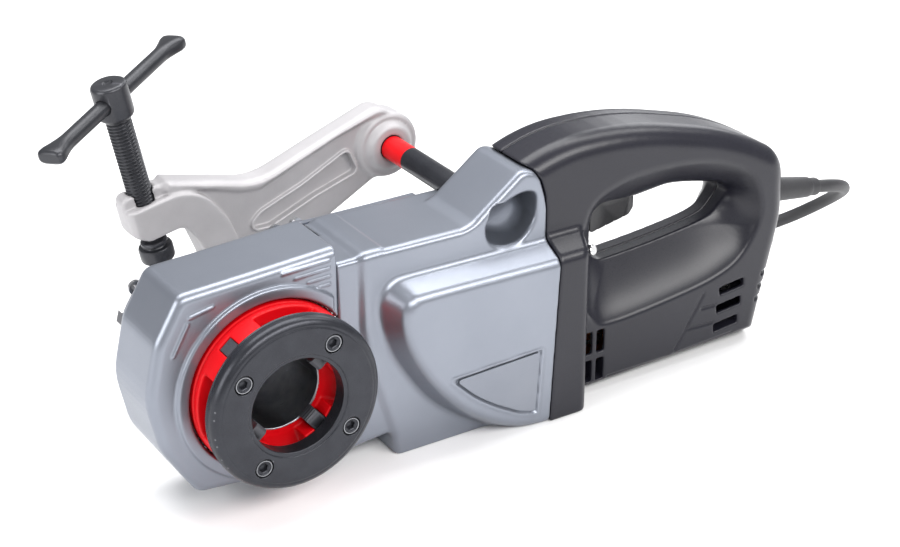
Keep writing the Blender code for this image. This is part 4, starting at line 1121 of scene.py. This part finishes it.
def t_bar():
    """A forged bar whose ends are spread flat, so it can't leave the cap."""
    ends = [(0, 5.8, 2.6, 0.6), (0.8, 7.1, 3.7, 0.6), (2.2, 7.5, 4.2, 0.6), (5, 7.3, 4.4, 0.65),
            (9, 6.2, 4.4, 0.8), (14, 4.9, 4.4, 0.95), (18, 4.4, 4.4, 1.0)]
    sections = [(-61 + a, wide, tall, power) for a, wide, tall, power in ends]
    sections += [(66.5 - a, wide, tall, power) for a, wide, tall, power in reversed(ends)]
    loops = []
    for along, wide, tall, power in sections:
        loop = []
        for k in range(40):
            c, s = math.cos(math.tau * k / 40), math.sin(math.tau * k / 40)
            loop.append(bar_point(along, wide * math.copysign(abs(c) ** power, c),
                                  tall * math.copysign(abs(s) ** power, s)))
        loops.append(loop)
    stands_for(skinned("turning_bar", loops, "oxide_dark", 50), "t_bar")


def swivel_pad():
    profile = [(0, PAD_FACE + 1), (5.5, PAD_FACE + 1), (6.0, PAD_FACE), (8.4, PAD_FACE),
               (9.3, PAD_FACE + 0.7), (9.6, PAD_FACE + 1.6), (9.6, 29.2), (9.1, 30.2),
               (7.0, 30.6), (6.7, 31.2), (7.5, 32), (7.5, 33.4), (6.9, PAD_TOP), (0, PAD_TOP)]
    pad = lathe("pressure_pad", profile, leaning(0, CLAMP_Y, 0), SPINDLE_AXIS, "oxide_dark", 64)
    stands_for(pad, "swivel_pad")


# ---------------- screws, gears and motor

def hidden_screw(name, x, z, seat, radius, height, shaft, tip, node):
    """A socket head screw seen from behind."""
    profile = [(0, tip), (shaft - 0.3, tip), (shaft, tip + 0.4), (shaft, GAP),
               (radius, GAP), (radius, height - 0.5), (radius - 0.5, height), (0, height)]
    screw = lathe(name, profile, (x, seat, z), (0, 1, 0), "steel", 40)
    socket = slab("socket", hexagon(x, z, radius * 0.52, 0.4), seat + height - 1.7,
                  seat + height + 1, "oxide_dark")
    trim(screw, socket)
    stands_for(screw, node)


def screws():
    places = [(x, z, HEAD_BACK + HEAD_COVER) for x, z in HEAD_SCREWS]
    places += [(x, z, BLOCK_BACK + BLOCK_COVER) for x, z in BLOCK_SCREWS]
    for number, (x, z, seat) in enumerate(places, 1):
        hidden_screw(f"cover_socket_screw_{number}", x, z, seat, 4, 2.8, 2, -14,
                     f"cover_screw_{number}")
    for number, (x, z, seat) in enumerate(SHELL_SCREWS, 1):
        hidden_screw(f"shell_socket_screw_{number}", x, z, seat, 3.8, 2.6, 1.9,
                     SCREW_TIP - seat, f"shell_screw_{number}")


def gear_outline(teeth, tip, root):
    """Teeth with sloping flanks and flat tips; the tips are a third of the pitch wide."""
    outline = []
    for k in range(teeth):
        for share, radius in ((0.0, root), (0.22, root), (0.38, (tip + root) / 2 + 0.3),
                              (0.50, tip), (0.72, tip), (0.84, (tip + root) / 2 + 0.3)):
            outline.append((radius, math.tau * (k + share) / teeth))
    return outline


def gear(name, teeth, tip, bore, start, axis, width, finish="steel", web=None, node=None):
    """A gear from a toothed rim to its bore, with a thinner web where web gives its radii."""
    side, up, along = frame_of(axis)
    rim = gear_outline(teeth, tip, tip - 2.1)
    count = len(rim)
    profile = [(None, 0), (None, width)]
    if web:
        outer, inner, depth = web
        profile += [(outer, width), (outer, width - depth), (inner, width - depth),
                    (inner, width)]
    profile += [(bore, width), (bore, 0)]
    if web:
        profile += [(inner, 0), (inner, depth), (outer, depth), (outer, 0)]
    points = []
    for radius, height in profile:
        for rim_radius, turn in rim:
            r = rim_radius if radius is None else radius
            points.append(Vector(start) + along * height
                          + (side * math.cos(turn) + up * math.sin(turn)) * r)
    made = from_lists(name, points, walls(len(profile), count, True), finish)
    outward(made)
    if node:
        stands_for(made, node)
    return made


def bearing(name, start, axis, width, bore, outer, node):
    """Two rings with balls between them."""
    third = (outer - bore) * 0.27
    middle = (outer + bore) / 2
    rings = [lathe(name, ring_profile(bore, bore + third, 0, width), start, axis, "steel", 64),
             lathe(name + "_outer", ring_profile(outer - third, outer, 0, width), start, axis,
                   "steel", 64)]
    side, up, along = frame_of(axis)
    ball = min((outer - bore) * 0.30, width * 0.42)
    count = max(7, int(math.tau * middle / (ball * 2.7)))
    build = bmesh.new()
    for k in range(count):
        turn = math.tau * k / count
        at = (Vector(start) + along * width / 2
              + (side * math.cos(turn) + up * math.sin(turn)) * middle)
        spot = Matrix.Translation(place(*at))
        bmesh.ops.create_uvsphere(build, u_segments=16, v_segments=10, radius=ball * MM,
                                  matrix=spot)
    mesh = bpy.data.meshes.new(name + "_balls")
    build.to_mesh(mesh)
    build.free()
    mesh.shade_smooth()
    balls = mesh_object(name + "_balls", mesh, "chrome")
    stands_for(rings[0], node)
    for piece in (rings[1], balls):
        belongs_to(piece, node)


IDLER_X, DRIVE_X, CROWN_FACE = 73.6, 107.2, 63.5


def gears():
    ring = gear("ring_gear_teeth", 98, 49, 44, (0, 38, 0), (0, 1, 0), 12)
    profile = [(44, 32.5), (44, 50.2), (42, 50.2), (42, 70), (41, 70.4), (35, 70.4), (35, 32.5),
               (44, 32.5)]
    core = lathe("ring_gear_core", profile, (0, 0, 0), (0, 1, 0), "steel", 96)
    bore = slab("drive_bore", [on_circle(HUB_RADIUS + 0.5, 45 * k) for k in range(8)], 20, 80,
                "steel")
    plug = lathe("core_fill", solid_profile(35.5, 32.5, 70.2), (0, 0, 0), (0, 1, 0), "steel",
                 96)
    trim(core, plug, "UNION")
    trim(core, bore)
    belongs_to(ring, "ring_gear")
    stands_for(core, "ring_gear")
    bearing("ring_bearing_front", (0, 32.3, 0), (0, 1, 0), 5.1, 44.3, 49.4,
            "front_ring_bearing")
    bearing("ring_bearing_rear", (0, 58, 0), (0, 1, 0), 10, 42.3, 49.6, "rear_ring_bearing")
    gear("idler_gear_look", 48, 24, 4.3, (IDLER_X, 38, 0), (0, 1, 0), 12, web=(18, 9, 3),
         node="idler_gear")
    pin = lathe("idler_pin_look", shaft_profile(4, 0, 26.7), (IDLER_X, 33.3, 0), (0, 1, 0),
                "steel", 40)
    stands_for(pin, "idler_pin")
    shaft = lathe("drive_shaft_look", shaft_profile(5, 33.3, 80), (DRIVE_X, 0, 0), (0, 1, 0),
                  "steel", 40)
    stands_for(shaft, "drive_pinion_shaft")
    belongs_to(gear("drive_pinion_teeth", 18, 9, 4.9, (DRIVE_X, 38, 0), (0, 1, 0), 12),
               "drive_pinion_shaft")
    gear("crown_wheel_look", 60, 30, 5.3, (DRIVE_X, CROWN_FACE, 0), (0, 1, 0), 6.5,
         web=(25, 12, 2), node="crown_wheel")
    bevel = [(0, 118.2), (4.2, 118.2), (6.8, 131.2), (5, 131.4), (5, 176), (4.5, 176.5),
             (0, 176.5)]
    stands_for(lathe("bevel_shaft_look", bevel, (0, MID_Y, 0), (1, 0, 0), "steel", 40),
               "bevel_pinion_shaft")
    bearing("bevel_bearing", (150, MID_Y, 0), (1, 0, 0), 10, 5.3, 10.7, "bevel_shaft_bearing")
    gear("first_gear_look", 59, 29.5, 5.3, (168.7, MID_Y, 0), (1, 0, 0), 6.3,
         web=(24, 11, 1.8), node="first_stage_gear")


def motor():
    centre = (0, MID_Y, MOTOR_Z)
    shaft = [(0, 167), (3, 167), (3.3, 167.4), (3.3, 176), (3.5, 176.2), (3.5, 325), (3, 325.5),
             (0, 325.5)]
    stands_for(lathe("motor_shaft_look", shaft, centre, (1, 0, 0), "steel", 40), "motor_shaft")
    belongs_to(gear("motor_pinion_teeth", 12, 6, 3.2, (167.3, MID_Y, MOTOR_Z), (1, 0, 0), 8.7),
               "motor_shaft")
    bearing("motor_bearing_front", (178, MID_Y, MOTOR_Z), (1, 0, 0), 7, 3.8, 11,
            "front_motor_bearing")
    bearing("motor_bearing_rear", (318, MID_Y, MOTOR_Z), (1, 0, 0), 7, 3.8, 9,
            "rear_motor_bearing")
    hub = [(3.8, 190), (9, 190), (9, 195), (24, 195), (24, 196.2), (9.5, 196.8), (9.5, 198),
           (3.8, 198), (3.8, 190)]
    stands_for(lathe("fan_hub", hub, centre, (1, 0, 0), "black_plastic", 64), "cooling_fan")
    blades = []
    for k in range(16):
        turn = math.tau * k / 16
        loops = []
        for r, swing in ((9.5, 0.0), (16, 0.14), (23.6, 0.34)):
            loop = []
            for x, side in ((190.6, -0.5), (195.2, -0.5), (195.2, 0.5), (190.6, 0.5)):
                a = turn + swing + side / r
                loop.append((x, MID_Y + r * math.cos(a), MOTOR_Z + r * math.sin(a)))
            loops.append(loop)
        blades.append(skinned(f"fan_blade_{k}", loops, "black_plastic"))
    joined("fan_blades", blades, "cooling_fan")
    core = gear("armature_core", 24, 15, 6, (214.5, MID_Y, MOTOR_Z), (1, 0, 0), 40, "iron")
    stands_for(core, "armature")
    winding = [(3.8, 214.2), (12.4, 214.2), (13.6, 217), (13.6, 252), (13, 258), (9, 262.5),
               (5.6, 266), (3.8, 267), (3.8, 214.2)]
    belongs_to(lathe("armature_winding", winding, centre, (1, 0, 0), "copper", 72), "armature")
    belongs_to(gear("commutator", 24, 10, 3.8, (267, MID_Y, MOTOR_Z), (1, 0, 0), 17, "copper"),
               "armature")
    yoke = ring_profile(17, 25.2, 217, 259)
    stands_for(lathe("stator_yoke", yoke, centre, (1, 0, 0), "iron", 72), "stator")
    for side in (-1, 1):
        coil = [(17.2, -3.5), (24.4, -3.5), (24.6, 0), (24.4, 3.5), (17.2, 3.5), (16.6, 0),
                (17.2, -3.5)]
        x = 238 + side * 18.2
        coiled = lathe(f"field_coil_{side + 2}", coil, (x, MID_Y, MOTOR_Z), (1, 0, 0), "copper",
                       64)
        belongs_to(coiled, "stator")
    for node, side in (("front_carbon_brush", -1), ("rear_carbon_brush", 1)):
        near, far = sorted((MID_Y + side * 10.5, MID_Y + side * 21))
        brush = slab(node + "_look", [(271, -39), (279, -39), (279, -33), (271, -33)], near, far,
                     "carbon")
        soften(brush, 0.5)
        stands_for(brush, node)


def joined(name, pieces, node):
    """One object of several meshes."""
    build = bmesh.new()
    for piece in pieces:
        build.from_mesh(piece.data)
    mesh = bpy.data.meshes.new(name)
    build.to_mesh(mesh)
    build.free()
    finish = pieces[0].data.materials[0]
    for piece in pieces:
        bpy.data.objects.remove(piece, do_unlink=True)
    mesh.materials.append(finish)
    return belongs_to(new_object(name, mesh), node)


# ---------------- power cord

COIL_X, COIL_Y, COIL_RADIUS = 188.0, 206.0, 44.0
CORD_START = RELIEF_START + RELIEF_AXIS * (RELIEF_LENGTH + GAP)
FLOOR_LEVEL = BASE_Z + CORD_RADIUS + 0.5


def cord_route():
    """Out of the relief, down behind the handle, along the floor, nine turns of coil, and up
    over them to the plug."""
    route = [CORD_START, CORD_START + RELIEF_AXIS * 12]
    route += [Vector(point) for point in (
        (419, 62, -2), (435, 80, -16), (437, 106, -37), (421, 130, -56),
        (392, 146, FLOOR_LEVEL), (352, 150, FLOOR_LEVEL), (312, 153, FLOOR_LEVEL),
        (276, 154, FLOOR_LEVEL), (246, 154, FLOOR_LEVEL), (221.4, 154, FLOOR_LEVEL))]
    free = dense(route)
    radii = [52, 44, 36, 36, 44, 52, 52, 44, 36]
    levels = [0, 0, 0, 8.1, 8.1, 8.1, 16.2, 16.2, 16.2]
    per_turn = 24
    for turn in range(8):
        for k in range(per_turn):
            share = eased(k / per_turn, 0.7, 1.0)
            radius = radii[turn] + (radii[turn + 1] - radii[turn]) * share
            level = levels[turn] + (levels[turn + 1] - levels[turn]) * share
            angle = -math.pi / 2 - math.tau * k / per_turn
            free.append(Vector((COIL_X + radius * math.cos(angle),
                                COIL_Y + radius * math.sin(angle), FLOOR_LEVEL + level)))
    for swept in range(0, 451, 15):
        drift = eased(swept, 150, 390)
        lift = 8.4 * eased(swept, 200, 285) + 6.9 * eased(swept, 320, 420)
        angle = math.radians(-90 - swept)
        free.append(Vector((COIL_X - 4 * drift + radii[8] * math.cos(angle),
                            COIL_Y - 20.5 * drift + radii[8] * math.sin(angle),
                            FLOOR_LEVEL + levels[8] + lift)))
    return free


def eased(value, start, end):
    """From 0 at start to 1 at end, with a soft beginning and end."""
    share = min(max((value - start) / (end - start), 0.0), 1.0)
    return share * share * (3 - 2 * share)


def dense(points, spacing=22.0):
    """Points about one spacing apart along a Catmull-Rom curve through the given ones."""
    ends = [points[0] * 2 - points[1], *points, points[-1] * 2 - points[-2]]
    found = [points[0]]
    for a, b, c, d in zip(ends, ends[1:], ends[2:], ends[3:]):
        steps = max(1, round((c - b).length / spacing))
        found += [curve_point(a, b, c, d, k / steps) for k in range(1, steps + 1)]
    return found


def power_cord():
    route = cord_route()
    curve = bpy.data.curves.new("power_lead", "CURVE")
    curve.dimensions = "3D"
    curve.bevel_depth = CORD_RADIUS * MM
    curve.bevel_resolution = 5
    curve.resolution_u = 6
    curve.use_fill_caps = True
    spline = curve.splines.new("NURBS")
    spline.points.add(len(route) - 1)
    for point, where in zip(spline.points, route):
        point.co = (*place(*where), 1.0)
    spline.order_u = 4
    spline.use_endpoint_u = True
    curve.materials.append(FINISHES["rubber"])
    lead = new_object("power_lead", curve)
    stands_for(lead, "power_cord", "cord_coil")
    plug_pieces = plug()
    tie = coil_tie()


def coil_tie():
    """A strap around the bundle of turns, at the side away from the plug."""
    ring = []
    for k in range(24):
        angle = math.tau * k / 24
        c, s = math.cos(angle), math.sin(angle)
        out = 13.2 * math.copysign(abs(c) ** 0.7, c)
        up = 12.5 * math.copysign(abs(s) ** 0.7, s)
        ring.append((COIL_X + COIL_RADIUS + out, FLOOR_LEVEL + 8.1 + up))
    loops = []
    for y, grow in ((COIL_Y - 4, 0.96), (COIL_Y - 3.4, 1.0), (COIL_Y + 3.4, 1.0),
                    (COIL_Y + 4, 0.96)):
        loops.append([(COIL_X + COIL_RADIUS + (x - COIL_X - COIL_RADIUS) * grow, y,
                       FLOOR_LEVEL + 8.1 + (z - FLOOR_LEVEL - 8.1) * grow) for x, z in ring])
    inner = [[(COIL_X + COIL_RADIUS + (x - COIL_X - COIL_RADIUS) * 0.9, y,
               FLOOR_LEVEL + 8.1 + (z - FLOOR_LEVEL - 8.1) * 0.9) for x, z in ring]
             for y in (COIL_Y + 4, COIL_Y - 4)]
    loops += inner
    points = [point for loop in loops for point in loop]
    faces = walls(len(loops), len(ring), True)
    tie = from_lists("coil_tie", points, faces, "black_plastic", sharp=40)
    outward(tie)
    return belongs_to(tie, "cord_coil")


def strain_relief():
    """A tapered sleeve, with a groove by the housing and a lip around the cord."""
    profile = [(0, 0), (8.2, 0), (8.2, 6.0), (7.9, 6.6), (7.9, 7.6), (8.15, 8.2), (7.9, 10),
               (7.6, 14), (6.9, 30), (6.4, 42), (6.2, 44.6), (5.7, 45.4), (5.5, 46.5),
               (5.6, 50.6), (5.2, RELIEF_LENGTH), (4.2, RELIEF_LENGTH), (4.2, 44), (0, 44)]
    sleeve = lathe("relief_sleeve", profile, RELIEF_START, RELIEF_AXIS, "rubber", 48, 50)
    stands_for(sleeve, "strain_relief")


def plug():
    """A round moulded plug with a ribbed grip and two pins."""
    at = (COIL_X - COIL_RADIUS + 4, COIL_Y - 6, BASE_Z + 36)
    profile = [(0, -8), (3.6, -13), (3.9, -14), (4.6, -14), (5.0, -11), (5.6, -8.4), (6.4, -5),
               (8.4, 2), (10.0, 6), (10.5, 8)]
    for k in range(5):
        start = 10 + k * 2.8
        profile += [(10.5, start), (10.0, start + 0.5), (10.0, start + 1.3), (10.5, start + 1.8)]
    profile += [(10.5, 26), (10.2, 27.5), (9.2, 29.6), (8.6, 30), (0, 30)]
    body = lathe("lead_plug", profile, at, (0, 1, 0), "rubber", 56, 40)
    stands_for(body, "mains_plug")
    pieces = [body]
    for number, side in enumerate((-1, 1), 1):
        pin = lathe(f"lead_plug_pin_{number}", [(0, 29), (2.1, 29), (2.1, 46.2), (1.6, 47.6),
                                                (0.8, 48), (0, 48)],
                    (at[0] + side * 5.5, at[1], at[2]), (0, 1, 0), "chrome", 32)
        pieces.append(belongs_to(pin, "mains_plug"))
    return pieces


# ---------------- floor

def floor():
    made, nodes, links = new_material("pale_floor")
    shader = nodes["Principled BSDF"]
    shader.inputs["Roughness"].default_value = 0.75
    shader.inputs["Specular IOR Level"].default_value = 0.25
    grain = add_noise(nodes, links, 40.0, 3.0)
    factor = spread(nodes, links, grain.outputs["Fac"], 0.0, 1.0)
    links.new(mixed(nodes, links, factor, (0.84, 0.84, 0.84), (0.86, 0.86, 0.86)),
              shader.inputs["Base Color"])
    mesh = bpy.data.meshes.new("floor")
    reach = 6.0
    mesh.from_pydata([(-reach, -reach, 0), (reach, -reach, 0), (reach, reach, 0),
                      (-reach, reach, 0)], [], [(0, 1, 2, 3)])
    mesh.materials.append(made)
    new_object("floor", mesh)


def main():
    look_from(place(*CAMERA_AT), CAMERA_TURN, CAMERA_TIP)
    light_studio()
    floor()
    for build in (power_cord, strain_relief, head_housing, head_cover, gear_housing, gear_cover,
                  label_plate):
        build()
    handle_shell(True)
    handle_shell(False)
    for build in (controls, joint_pin, die_body, die_plate, plate_screws):
        build()
    for number in range(4):
        chaser(number)
    for build in (clamp_casting, v_jaw, guide_rod, threaded_spindle, t_bar, swivel_pad, screws,
                  gears, motor):
        build()


main()
